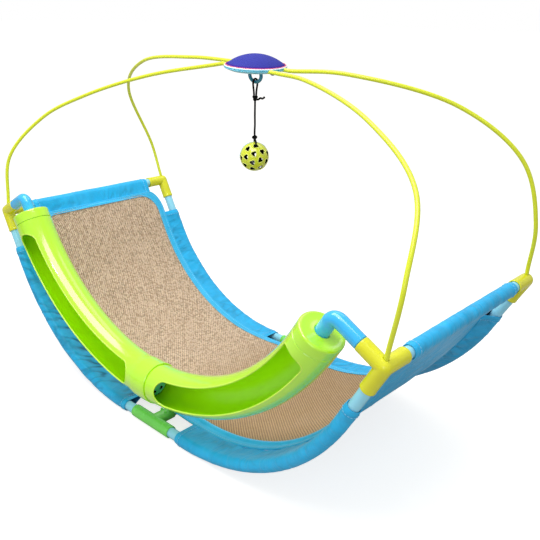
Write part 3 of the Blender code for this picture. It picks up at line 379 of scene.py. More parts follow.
@dataclass(frozen=True)
class ProofedCloth:
    """Smooth proofed nylon of the sling, with painted shade in its creases and, on the sleeves, in their folds.

    Attributes:
        name: material name.
        colour: colour of 0 to 255.
        pitch: thread pitch.
        crease: depth of the small creases.
        sheen: soft shine of the threads.
    """

    name: str
    colour: tuple[float, float, float]
    pitch: float = 0.0009
    crease: float = 0.0013
    sheen: float = 0.05

    def material(self, effects: Effects) -> Material:
        """Build the material from the shared effects."""
        material, tree, shader = start_material(self.name, Sheen_Weight=self.sheen, Sheen_Roughness=0.45,
                                                Specular_IOR_Level=0.45)
        flat = put(tree, "ShaderNodeUVMap", uv_map="UVMap").outputs[0]
        threads = put(tree, "ShaderNodeGroup", {"Vector": flat, "Pitch": self.pitch}, node_tree=effects.weave)
        handled = put(tree, "ShaderNodeGroup", {"Vector": flat}, node_tree=effects.creases)
        base = srgb(*self.colour)
        woven = blend_colour(tree, threads.outputs["Shade"], scaled(base, 0.86), scaled(base, 1.08))
        faded = blend_colour(tree, maths(tree, "MULTIPLY", handled.outputs["Rubbed"], 0.16), woven,
                             tuple(c * 0.85 + 0.12 for c in base[:3]) + (1.0,))
        # Painted shade: the colour darkens along the small creases.
        crease_shaded = blend_colour(tree, maths(tree, "MULTIPLY", handled.outputs["Height"], 0.22), faded, scaled(base, 0.6))
        tree.links.new(ramp(tree, handled.outputs["Rubbed"], 0.0, 1.0, 0.36, 0.52), shader.inputs["Roughness"])
        # Painted shade in the sleeves' folds, read from the fold attribute that the sleeves store.
        fold = put(tree, "ShaderNodeAttribute", attribute_name="fold").outputs["Fac"]
        tree.links.new(blend_colour(tree, fold, crease_shaded, scaled(base, 0.34)), shader.inputs["Base Color"])
        add_relief(tree, shader, ((handled.outputs["Height"], self.crease, 0.7),
                                  (threads.outputs["Height"], self.pitch * 0.12, 0.5)))
        return material


@dataclass(frozen=True)
class SisalWeave:
    """Ribbed woven sisal: thick rows across the bed with speckled fibres, painted shade in the grooves between rows,
    and a painted darker, browner shade towards +X.

    Attributes:
        name: material name.
        light: colour of the raised fibres.
        dark: colour between the rows, partly the fibres' own tone and partly painted shade.
        rib: pitch of the rows.
        thread: pitch of the knots along a row.
        lean: angle of the rows to the line across the bed.
    """

    name: str
    light: tuple[float, float, float]
    dark: tuple[float, float, float]
    rib: float = 0.0035
    thread: float = 0.0030
    lean: float = 0.893

    def material(self) -> Material:
        """Build the material on a UV map in metres."""
        material, tree, shader = start_material(self.name, Sheen_Weight=0.10, Sheen_Roughness=0.6,
                                                Specular_IOR_Level=0.15)
        flat = put(tree, "ShaderNodeUVMap", uv_map="UVMap").outputs[0]
        drift = clouds(tree, flat, 42.0, 3.0)
        wobble = maths(tree, "MULTIPLY", maths(tree, "SUBTRACT", drift, 0.5), 0.45)
        parts = put(tree, "ShaderNodeSeparateXYZ", {0: flat})
        turned_by = put(tree, "ShaderNodeMapping", {"Vector": flat, "Rotation": (0.0, 0.0, -self.lean)}).outputs[0]
        weave = put(tree, "ShaderNodeSeparateXYZ", {0: turned_by})
        along = maths(tree, "ADD", maths(tree, "DIVIDE", weave.outputs["X"], self.rib), wobble)
        row = maths(tree, "FLOOR", along)
        rib = maths(tree, "SINE", maths(tree, "MULTIPLY", maths(tree, "FRACT", along), pi))
        across = maths(tree, "ADD", maths(tree, "DIVIDE", weave.outputs["Y"], self.thread), maths(
            tree, "MULTIPLY", row, 0.37))
        knot = maths(tree, "ABSOLUTE", maths(tree, "SINE", maths(tree, "MULTIPLY", across, pi)))
        stretched = put(tree, "ShaderNodeMapping", {"Vector": flat, "Scale": (1.0, 0.85, 1.0)}).outputs[0]
        fibres = clouds(tree, stretched, 900.0, 3.0, Roughness=0.7)
        grains = put(tree, "ShaderNodeTexVoronoi", {"Vector": stretched, "Scale": 430.0})
        tint = put(tree, "ShaderNodeSeparateXYZ", {0: grains.outputs["Color"]})
        patches = clouds(tree, flat, 14.0, 4.0)
        height = maths(tree, "ADD", maths(tree, "MULTIPLY", rib, maths(tree, "ADD", maths(
            tree, "MULTIPLY", knot, 0.40), 0.60)), maths(tree, "MULTIPLY", fibres, 0.45))
        light, dark = srgb(*self.light), srgb(*self.dark)
        woven = blend_colour(tree, ramp(tree, height, 0.20, 0.95), dark, light)
        shades = put(tree, "ShaderNodeValToRGB", {0: tint.outputs[0]})
        stops = shades.color_ramp.elements
        stops[0].color, stops[1].color = scaled(light, 0.34), scaled(light, 1.25)
        for place, colour in ((0.22, (168, 132, 104)), (0.5, (214, 184, 156)), (0.74, (232, 206, 184))):
            stops.new(place).color = srgb(*colour)
        mixed = blend_colour(tree, 0.62, woven, shades.outputs[0])
        # Painted shade: darker and browner towards +X, with the grooves' shade stronger that way.
        shade_to_right = ramp(tree, parts.outputs["X"], -0.12, 0.12)
        right_shaded = blend_colour(tree, maths(tree, "MULTIPLY", shade_to_right, 0.82), mixed, srgb(172, 136, 86))
        # Painted shade in the grooves between the rows.
        rows = maths(tree, "MULTIPLY", ramp(tree, rib, 0.10, 0.85, 1.0, 0.0), ramp(tree, shade_to_right, 0.0, 1.0, 0.12, 0.95))
        frayed = maths(tree, "MULTIPLY", rows, ramp(tree, fibres, 0.32, 0.62, 0.5, 1.0))
        groove_shaded = blend_colour(tree, frayed, right_shaded, dark)
        toned = blend_colour(tree, maths(tree, "MULTIPLY", patches, 0.25), groove_shaded, srgb(202, 176, 152))
        tree.links.new(toned, shader.inputs["Base Color"])
        tree.links.new(ramp(tree, fibres, 0.2, 0.8, 0.72, 0.95), shader.inputs["Roughness"])
        add_relief(tree, shader, ((height, 0.0011, 0.8),))
        return material


@dataclass(frozen=True)
class BraidedCord:
    """Round braided cord on a UV map of turns and metres.

    Attributes:
        name: material name.
        colour: colour of 0 to 255.
        lay: length of one braid diamond.
        strands: diamonds round the cord.
    """

    name: str
    colour: tuple[float, float, float]
    lay: float = 0.0014
    strands: float = 5.0

    def material(self) -> Material:
        """Build the material."""
        material, tree, shader = start_material(self.name, Specular_IOR_Level=0.12)
        flat = put(tree, "ShaderNodeUVMap", uv_map="UVMap").outputs[0]
        parts = put(tree, "ShaderNodeSeparateXYZ", {0: flat})
        round_part = maths(tree, "MULTIPLY", parts.outputs["X"], self.strands)
        long_part = maths(tree, "DIVIDE", parts.outputs["Y"], self.lay)
        first = maths(tree, "SINE", maths(tree, "MULTIPLY", maths(tree, "ADD", round_part, long_part), pi))
        second = maths(tree, "SINE", maths(tree, "MULTIPLY", maths(tree, "SUBTRACT", round_part, long_part), pi))
        braid = maths(tree, "ABSOLUTE", maths(tree, "MULTIPLY", first, second))
        place = put(tree, "ShaderNodeTexCoord").outputs["Object"]
        fuzz = clouds(tree, place, 2600.0, 3.0)
        base = srgb(*self.colour)
        toned = blend_colour(tree, maths(tree, "MULTIPLY", braid, fuzz), base,
                             tuple(c * 1.8 + 0.008 for c in base[:3]) + (1.0,))
        tree.links.new(toned, shader.inputs["Base Color"])
        tree.links.new(ramp(tree, fuzz, 0.2, 0.8, 0.6, 0.9), shader.inputs["Roughness"])
        add_relief(tree, shader, ((braid, 0.0003, 0.8), (fuzz, 0.0001, 0.4)))
        return material


@dataclass(frozen=True)
class PlatedSteel:
    """Bright plated sheet steel of the bells."""

    name: str
    colour: tuple[float, float, float] = (196, 200, 206)

    def material(self, effects: Effects) -> Material:
        """Build the material from the shared effects."""
        material, tree, shader = start_material(self.name, Metallic=1.0)
        marks = put(tree, "ShaderNodeGroup", {"Cloud Size": 200.0, "Scratches": 0.6}, node_tree=effects.moulding)
        base = srgb(*self.colour)
        tree.links.new(blend_colour(tree, marks.outputs["Cloud"], scaled(base, 0.8), base), shader.inputs["Base Color"])
        tree.links.new(ramp(tree, marks.outputs["Gloss"], 0.1, 1.0, 0.16, 0.42), shader.inputs["Roughness"])
        add_relief(tree, shader, ((marks.outputs["Height"], 0.00003, 0.5),))
        return material


class FinishSet:
    """Every material of the bed, by a maker's name."""

    def __init__(self) -> None:
        """Build the shared effects and the finishes."""
        effects = Effects()

        def plastic(name: str, *colour: float, **looks: float) -> Material:
            return MouldedPlastic(name, colour, **looks).material(effects)

        self.tube = plastic("tube_pale_blue", 150, 224, 250, spread=0.05)
        self.connector = plastic("connector_yellow", 224, 224, 30, gloss=0.27)
        self.tee = plastic("tee_green", 118, 226, 92, gloss=0.30)
        self.elbow = plastic("elbow_blue", 44, 186, 250, gloss=0.16, coat=0.6)
        self.track = plastic("track_lime", 186, 250, 18, gloss=0.20, spread=0.04, coat=0.9, shine=0.7)
        # Painted light: a copy of the track plastic with its colour set for the light inside the tube.
        self.track_inside_painted_light = plastic("track_inside_painted_light", 192, 252, 6, gloss=0.34, spread=0.05, coat=0.0)
        # Painted highlight: a paler copy of the track plastic for the window's rounded lip.
        self.track_lip_highlight = plastic("track_lip_highlight", 204, 248, 70, gloss=0.18, wear=0.1, coat=0.5)
        self.rod = plastic("rod_yellow", 222, 232, 40, gloss=0.34, spread=0.04)
        self.hub_base = plastic("hub_cyan", 118, 212, 242, gloss=0.22)
        # Painted shade: a darker copy of the hub's cyan for the eye under the base.
        self.hub_eye_shade = plastic("hub_eye_painted_shade", 44, 134, 162, gloss=0.24)
        self.hub_rim = plastic("hub_rim_white", 246, 240, 244, gloss=0.30)
        self.hub_line = plastic("hub_line_rose", 216, 104, 130, gloss=0.5, coat=0.0, shine=0.1)
        self.hub_disc = plastic("hub_disc_blue", 52, 56, 150, gloss=0.62, wear=0.0, coat=0.0, shine=0.08)
        self.hub_disc_edge = plastic("hub_disc_edge", 58, 34, 138, gloss=0.62, wear=0.0, coat=0.0, shine=0.08)
        self.rivet = plastic("rivet_blue", 20, 62, 124, gloss=0.34)
        self.ball_green = plastic("ball_lime", 214, 224, 34, gloss=0.20, coat=0.5)
        # Painted shade: a near-black copy for the inside of the balls and the walls of their holes.
        self.ball_inside_shade = plastic("ball_inside_shade", 26, 30, 8, gloss=0.6, coat=0.0, shine=0.05)
        # Painted highlight: a paler copy of the lime for the rims round the holes.
        self.ball_rim_highlight = plastic("ball_rim_highlight", 236, 242, 120, gloss=0.22)
        self.ball_blue = plastic("ball_blue", 96, 190, 228, gloss=0.24, coat=0.4)
        self.bell = PlatedSteel("bell_steel").material(effects)
        self.cord = BraidedCord("cord_black", (12, 12, 14)).material()
        self.cloth = ProofedCloth("cloth_blue", (16, 188, 250)).material(effects)
        self.binding = ProofedCloth("binding_blue", (48, 196, 250), crease=0.0002).material(effects)
        # Painted shade: a darker copy of the cloth for the sleeves' insides.
        self.cloth_inside_shade = ProofedCloth("cloth_inside_painted_shade", (24, 108, 172)).material(effects)
        self.thread = BraidedCord("thread_pale", (140, 210, 246), lay=0.0006, strands=2.0).material()
        self.mat = SisalWeave("sisal_tan", (222, 200, 168), (98, 72, 44)).material()


# ---------------------------------------------------------------- lines and meshes

SMOOTH_ANGLE, TURNED_ANGLE, MOULDED_ANGLE, CLOTH_ANGLE = 40.0, 30.0, 60.0, 70.0


def evenly(start: float, end: float, steps: int) -> list[float]:
    """Even steps from start to end, both included."""
    return [start + (end - start) * i / steps for i in range(steps + 1)]


def between(first: Pair, last: Pair, steps: int) -> list[Pair]:
    """Points on the way from one to another, without these two."""
    return [(first[0] + (last[0] - first[0]) * i / steps, first[1] + (last[1] - first[1]) * i / steps)
            for i in range(1, steps)]


def left_or_right(side: float) -> str:
    """Left or right, by the sign of x."""
    return "left" if side < 0 else "right"


def front_or_back(front: bool) -> str:
    """Front or back."""
    return "front" if front else "back"


class Route:
    """A smooth line through close points, with a frame carried along it without twist."""

    def __init__(self, points: Sequence[Vector], closed: bool = False, start_side: Optional[Vector] = None) -> None:
        """Measure the line.

        Args:
            points: its points, close together.
            closed: True where the last point joins the first.
            start_side: direction of the first side, about square to the line.
        """
        self.points = [Vector(p) for p in points] + ([Vector(points[0])] if closed else [])
        self.lengths = [0.0]
        for before, after in zip(self.points, self.points[1:]):
            self.lengths.append(self.lengths[-1] + (after - before).length)
        last = len(self.points) - 1
        self.frames = []
        side = start_side
        for i in range(last + 1):
            before = self.points[i - 1] if i else self.points[last - 1 if closed else 0]
            after = self.points[i + 1] if i < last else self.points[1 if closed else last]
            tangent = (after - before).normalized()
            side = tangent.orthogonal() if side is None else side
            side = (side - tangent * side.dot(tangent)).normalized()
            self.frames.append((tangent, side.copy(), tangent.cross(side)))

    @property
    def length(self) -> float:
        """Length of the line."""
        return self.lengths[-1]

    def at(self, distance: float) -> tuple[Vector, Vector, Vector, Vector]:
        """Place, tangent, side and cross direction, a distance along the line or past its ends."""
        i = min(max(bisect.bisect_right(self.lengths, distance) - 1, 0), len(self.points) - 2)
        share = (distance - self.lengths[i]) / (self.lengths[i + 1] - self.lengths[i])
        mix = min(max(share, 0.0), 1.0)
        axes = [a.lerp(b, mix).normalized() for a, b in zip(self.frames[i], self.frames[i + 1])]
        return self.points[i].lerp(self.points[i + 1], share), *axes

    def ring(self, distance: float, radius: float, sides: int) -> list[Vector]:
        """Points of a circle round the line."""
        centre, _, side, cross = self.at(distance)
        turns = evenly(0.0, 2 * pi, sides)[:-1]
        return [centre + (side * cos(a) + cross * sin(a)) * radius for a in turns]


def smooth_curve(points: Sequence[Vector], steps: int) -> list[Vector]:
    """Centripetal Catmull-Rom curve through points.

    Args:
        points: points to pass through.
        steps: pieces between two points.

    Returns:
        The curve's points, both ends included.
    """
    ends = [points[0] * 2 - points[1]] + list(points) + [points[-1] * 2 - points[-2]]
    knots = [0.0]
    for before, after in zip(ends, ends[1:]):
        knots.append(knots[-1] + sqrt((after - before).length))
    out = []
    for i in range(1, len(ends) - 2):
        t0, t1, t2, t3 = knots[i - 1:i + 3]
        p0, p1, p2, p3 = ends[i - 1:i + 3]
        for k in range(steps):
            t = t1 + (t2 - t1) * k / steps
            a1 = p0.lerp(p1, (t - t0) / (t1 - t0))
            a2 = p1.lerp(p2, (t - t1) / (t2 - t1))
            a3 = p2.lerp(p3, (t - t2) / (t3 - t2))
            b1 = a1.lerp(a2, (t - t0) / (t2 - t0))
            b2 = a2.lerp(a3, (t - t1) / (t3 - t1))
            out.append(b1.lerp(b2, (t - t1) / (t2 - t1)))
    return out + [points[-1]]


def frame_along(origin: Vector, direction: Vector, across: Sequence[float] = (0.0, 1.0, 0.0)) -> Matrix:
    """Placement whose +Z runs along a direction and whose +Y is nearest to across."""
    z_axis = Vector(direction).normalized()
    if abs(z_axis.dot(Vector(across))) > 0.99:
        across = (0.0, 0.0, 1.0)
    x_axis = Vector(across).cross(z_axis).normalized()
    rotation = Matrix((x_axis, z_axis.cross(x_axis), z_axis)).transposed().to_4x4()
    return Matrix.Translation(origin) @ rotation


def tidy(mesh: bpy.types.Mesh, angle: float, outward: bool = True) -> None:
    """Merge doubles, point the faces outward and shade smooth with sharp edges kept."""
    work = bmesh.new()
    work.from_mesh(mesh)
    bmesh.ops.remove_doubles(work, verts=work.verts, dist=2e-7)
    if outward:
        bmesh.ops.recalc_face_normals(work, faces=work.faces)
    work.to_mesh(mesh)
    work.free()
    mesh.shade_smooth()
    mesh.set_sharp_from_angle(angle=radians(angle))


def link(name: str, data: bpy.types.ID) -> Object:
    """New object in the scene, at the origin."""
    obj = bpy.data.objects.new(name, data)
    bpy.context.scene.collection.objects.link(obj)
    return obj


def link_mesh(name: str, verts: Sequence, faces: Sequence, finishes: Sequence[Material] = (),
              edges: Sequence = ()) -> Object:
    """New object from lists, in the scene, at the origin."""
    mesh = bpy.data.meshes.new(name)
    mesh.from_pydata([tuple(v) for v in verts], list(edges), list(faces))
    for finish in finishes:
        mesh.materials.append(finish)
    if faces:
        tidy(mesh, SMOOTH_ANGLE)
    return link(name, mesh)


def skin(name: str, rows: Sequence[Sequence[Vector]], finishes: Sequence[Material] = (),
         around: bool = True, along: bool = False, across_marks: Optional[Sequence[float]] = None,
         along_marks: Optional[Sequence[float]] = None, finish_of: FinishOf = None,
         angle: float = SMOOTH_ANGLE) -> Object:
    """Surface through rows of points, with a UV map.

    Args:
        name: object name.
        rows: rows of points, all of one count.
        finishes: its materials.
        around: True where each row is closed.
        along: True where the last row joins the first.
        across_marks: V of each point of a row, and one more where the row is closed.
        along_marks: U of each row, and one more where the rows are closed.
        finish_of: number of the material of a face, by row and column.
        angle: angle in degrees past which an edge is sharp.

    Returns:
        The new object.
    """
    count, total = len(rows[0]), len(rows)
    v_marks = across_marks or [j / count for j in range(count + 1)]
    u_marks = along_marks or [i / total for i in range(total + 1)]
    faces, coords, marks = [], [], []
    for i in range(total if along else total - 1):
        k = (i + 1) % total
        for j in range(count if around else count - 1):
            m = (j + 1) % count
            faces.append((i * count + j, i * count + m, k * count + m, k * count + j))
            coords += [u_marks[i], v_marks[j], u_marks[i], v_marks[j + 1], u_marks[i + 1], v_marks[j + 1],
                       u_marks[i + 1], v_marks[j]]
            marks.append(finish_of(i, j) if finish_of else 0)
    mesh = bpy.data.meshes.new(name)
    mesh.from_pydata([tuple(p) for row in rows for p in row], [], faces)
    mesh.uv_layers.new(name="UVMap").data.foreach_set("uv", coords)
    mesh.polygons.foreach_set("material_index", marks)
    for finish in finishes:
        mesh.materials.append(finish)
    tidy(mesh, angle)
    return link(name, mesh)


def swept(name: str, route: Route, profile: Profile, sides: int, finishes: Sequence[Material],
          hollow: bool = False, finish_of: FinishOf = None) -> Object:
    """Round body along a line.

    Args:
        name: object name.
        route: the line.
        profile: distance along the line and radius of each ring.
        sides: sides of a ring.
        finishes: its materials.
        hollow: True where the last ring joins the first, as in a tube with a wall.
        finish_of: number of the material of a face, by ring and side.

    Returns:
        The new object.
    """
    rows = [route.ring(s, max(radius, 1e-9), sides) for s, radius in profile]
    marks = [s for s, _ in profile] + [profile[0][0]]
    return skin(name, rows, finishes, along=hollow, along_marks=marks, finish_of=finish_of)


def turned(name: str, profile: Profile, sides: int, matrix: Matrix, finishes: Sequence[Material] = (),
           closed: bool = False, finish_of: FinishOf = None) -> Object:
    """Turned body: a profile of radius and height, spun round the placement's Z."""
    rows = []
    for radius, height in profile:
        turns = evenly(0.0, 2 * pi, sides)[:-1]
        rows.append([matrix @ Vector((max(radius, 1e-9) * cos(a), max(radius, 1e-9) * sin(a), height))
                     for a in turns])
    return skin(name, rows, finishes, along=closed, finish_of=finish_of, angle=TURNED_ANGLE)


def arc(centre: Pair, radius: float, start: float, end: float, steps: int) -> list[Pair]:
    """Points along a flat arc, both ends included."""
    return [(centre[0] + radius * cos(a), centre[1] + radius * sin(a)) for a in evenly(start, end, steps)]


def slab(name: str, outline: Sequence[Pair], low: float, high: float, matrix: Matrix,
         finishes: Sequence[Material] = ()) -> Object:
    """Flat outline in the placement's XY plane, given depth along its Z."""
    count = len(outline)
    verts = [matrix @ Vector((x, y, z)) for z in (low, high) for x, y in outline]
    faces = [tuple(range(count)), tuple(range(count, 2 * count))]
    faces += [(i, (i + 1) % count, count + (i + 1) % count, count + i) for i in range(count)]
    return link_mesh(name, verts, faces, finishes)


def join(name: str, parts: Sequence[Object]) -> Object:
    """One object from several, with their materials and UV maps kept."""
    finishes, work = [], bmesh.new()
    work.loops.layers.uv.new("UVMap")
    for part in parts:
        numbers = {}
        for index, finish in enumerate(part.data.materials):
            if finish not in finishes:
                finishes.append(finish)
            numbers[index] = finishes.index(finish)
        known = len(work.faces)
        work.from_mesh(part.data)
        work.faces.ensure_lookup_table()
        for face in work.faces[known:]:
            face.material_index = numbers.get(face.material_index, 0)
        bpy.data.objects.remove(part, do_unlink=True)
    mesh = bpy.data.meshes.new(name)
    work.to_mesh(mesh)
    work.free()
    for finish in finishes:
        mesh.materials.append(finish)
    return link(name, mesh)


def bake(obj: Object, angle: float = SMOOTH_ANGLE, outward: bool = False) -> Object:
    """Replace an object's mesh with its evaluated one and drop its modifiers."""
    bpy.context.view_layer.update()
    evaluated = obj.evaluated_get(bpy.context.evaluated_depsgraph_get())
    mesh = bpy.data.meshes.new_from_object(evaluated)
    obj.modifiers.clear()
    obj.data = mesh
    tidy(mesh, angle, outward)
    return obj


def thicken(sheet: Object, thickness: float, offset: float = 0.0, inside: int = 0) -> Object:
    """Give a sheet its thickness, with the material of another number inside where asked."""
    wall = sheet.modifiers.new("wall", "SOLIDIFY")
    wall.thickness, wall.offset, wall.material_offset = thickness, offset, inside
    return bake(sheet, MOULDED_ANGLE, outward=not offset)


def carve(obj: Object, cutters: Sequence[Object]) -> Object:
    """Cut shapes out of an object, all at once."""
    cutter = join("cutter", cutters)
    modifier = obj.modifiers.new("cut", "BOOLEAN")
    modifier.object, modifier.solver = cutter, "EXACT"
    bake(obj)
    bpy.data.objects.remove(cutter, do_unlink=True)
    return obj


def fuse(name: str, parts: Sequence[Object], finish: Material, voxel: float, rounds: int) -> Object:
    """Melt closed shapes into one body with soft inner corners, as moulded plastic has.

    Args:
        name: object name.
        parts: closed shapes that overlap.
        finish: its material.
        voxel: grain of the melt, in metres.
        rounds: rounds of smoothing.

    Returns:
        The new object.
    """
    obj = join(name, parts)
    remesh = obj.modifiers.new("melt", "REMESH")
    remesh.mode, remesh.voxel_size, remesh.adaptivity = "VOXEL", voxel, 0.0
    relax = obj.modifiers.new("relax", "SMOOTH")
    relax.factor, relax.iterations = 0.5, rounds
    bake(obj, MOULDED_ANGLE)
    obj.data.materials.clear()
    obj.data.materials.append(finish)
    return obj


# ---------------------------------------------------------------- node-made repeats


class Repeats:
    """Geometry node trees: threads of stitches and beads along lines."""

    PITCH = 0.0042
    STITCH = (0.0031, 0.00048)

    def __init__(self) -> None:
        """Build both trees once."""
        self.stitches = self.stitch_tree()
        self.bead = self.bead_tree()

    @staticmethod
    def start(name: str, inputs: Sequence[tuple[str, str, float]]) -> tuple[Tree, Node, Node]:
        """Start a geometry tree with named inputs."""
        tree = bpy.data.node_groups.new(name, "GeometryNodeTree")
        tree.interface.new_socket("Geometry", in_out="INPUT", socket_type="NodeSocketGeometry")
        for label, kind, value in inputs:
            socket = tree.interface.new_socket(label, in_out="INPUT", socket_type=f"NodeSocket{kind}")
            if value is not None:
                socket.default_value = value
        tree.interface.new_socket("Geometry", in_out="OUTPUT", socket_type="NodeSocketGeometry")
        return tree, tree.nodes.new("NodeGroupInput"), tree.nodes.new("NodeGroupOutput")

    @staticmethod
    def close(tree: Tree, last: Node, given: Node, result: Node) -> Tree:
        """End a tree: make the last node's repeats real and give them the material."""
        real = put(tree, "GeometryNodeRealizeInstances", {0: last.outputs[0]})
        dressed = put(tree, "GeometryNodeSetMaterial", {0: real.outputs[0], "Material": given.outputs["Material"]})
        tree.links.new(dressed.outputs[0], result.inputs[0])
        return tree

    @classmethod
    def stitch_tree(cls) -> Tree:
        """Small rounded stitches at a pitch along the mesh's edges, a little uneven."""
        tree, given, result = cls.start("stitch_row", (
            ("Pitch", "Float", 0.0034), ("Stitch Length", "Float", 0.0024), ("Stitch Radius", "Float", 0.00035),
            ("Unevenness", "Float", 0.12), ("Seed", "Int", 4), ("Material", "Material", None)))
        line = put(tree, "GeometryNodeMeshToCurve", {0: given.outputs["Geometry"]})
        spots = put(tree, "GeometryNodeCurveToPoints", {0: line.outputs[0], "Length": given.outputs["Pitch"]},
                    mode="LENGTH")
        stitch = put(tree, "GeometryNodeMeshUVSphere", {"Segments": 6, "Rings": 4, "Radius": 1.0})
        size = put(tree, "ShaderNodeCombineXYZ", {
            0: given.outputs["Stitch Radius"], 1: given.outputs["Stitch Radius"],
            2: maths(tree, "MULTIPLY", given.outputs["Stitch Length"], 0.5)})
        shaped = put(tree, "GeometryNodeTransform", {0: stitch.outputs["Mesh"], "Scale": size.outputs[0]})
        low = maths(tree, "SUBTRACT", 1.0, given.outputs["Unevenness"])
        high = maths(tree, "ADD", 1.0, given.outputs["Unevenness"])
        uneven = put(tree, "FunctionNodeRandomValue", {2: low, 3: high, "Seed": given.outputs["Seed"]},
                     data_type="FLOAT")
        placed = put(tree, "GeometryNodeInstanceOnPoints", {
            "Points": spots.outputs[0], "Instance": shaped.outputs[0], "Rotation": spots.outputs["Rotation"],
            "Scale": uneven.outputs[1]})
        return cls.close(tree, placed, given, result)

    @classmethod
    def bead_tree(cls) -> Tree:
        """Round bead along the mesh's edges."""
        tree, given, result = cls.start("bead", (
            ("Radius", "Float", 0.001), ("Sides", "Int", 12), ("Material", "Material", None)))
        line = put(tree, "GeometryNodeMeshToCurve", {0: given.outputs["Geometry"]})
        ring = put(tree, "GeometryNodeCurvePrimitiveCircle", {"Resolution": given.outputs["Sides"],
                                                              "Radius": given.outputs["Radius"]}, mode="RADIUS")
        tube = put(tree, "GeometryNodeCurveToMesh", {0: line.outputs[0], 1: ring.outputs[0], "Fill Caps": True})
        return cls.close(tree, tube, given, result)

    @staticmethod
    def run(name: str, tree: Tree, lines: Sequence[Sequence[Vector]], closed: bool, values: dict) -> Object:
        """Put lines through a tree.

        Args:
            name: object name.
            tree: the geometry tree.
            lines: points of each line.
            closed: True where each line is a loop.
            values: the tree's inputs, by name.

        Returns:
            The result as a plain mesh object.
        """
        verts, edges = [], []
        for line in lines:
            first = len(verts)
            verts += [tuple(p) for p in line]
            edges += [(first + i, first + i + 1) for i in range(len(line) - 1)]
            if closed:
                edges.append((len(verts) - 1, first))
        obj = link_mesh(name, verts, (), edges=edges)
        modifier = obj.modifiers.new("repeat", "NODES")
        modifier.node_group = tree
        for item in tree.interface.items_tree:
            if item.in_out == "INPUT" and item.name in values:
                modifier[item.identifier] = values[item.name]
        return bake(obj, MOULDED_ANGLE, outward=True)

    def sew(self, name: str, lines: Sequence[Sequence[Vector]], finish: Material, closed: bool = False) -> Object:
        """Rows of stitches along lines."""
        return self.run(name, self.stitches, lines, closed, {
            "Pitch": self.PITCH, "Stitch Length": self.STITCH[0], "Stitch Radius": self.STITCH[1],
            "Unevenness": 0.12, "Seed": 4, "Material": finish})

    def beads(self, name: str, lines: Sequence[Sequence[Vector]], finish: Material, radius: float,
              closed: bool = True, sides: int = 12) -> Object:
        """Round beads along lines."""
        return self.run(name, self.bead, lines, closed, {"Radius": radius, "Sides": sides, "Material": finish})


# ---------------------------------------------------------------- the bed's measurements


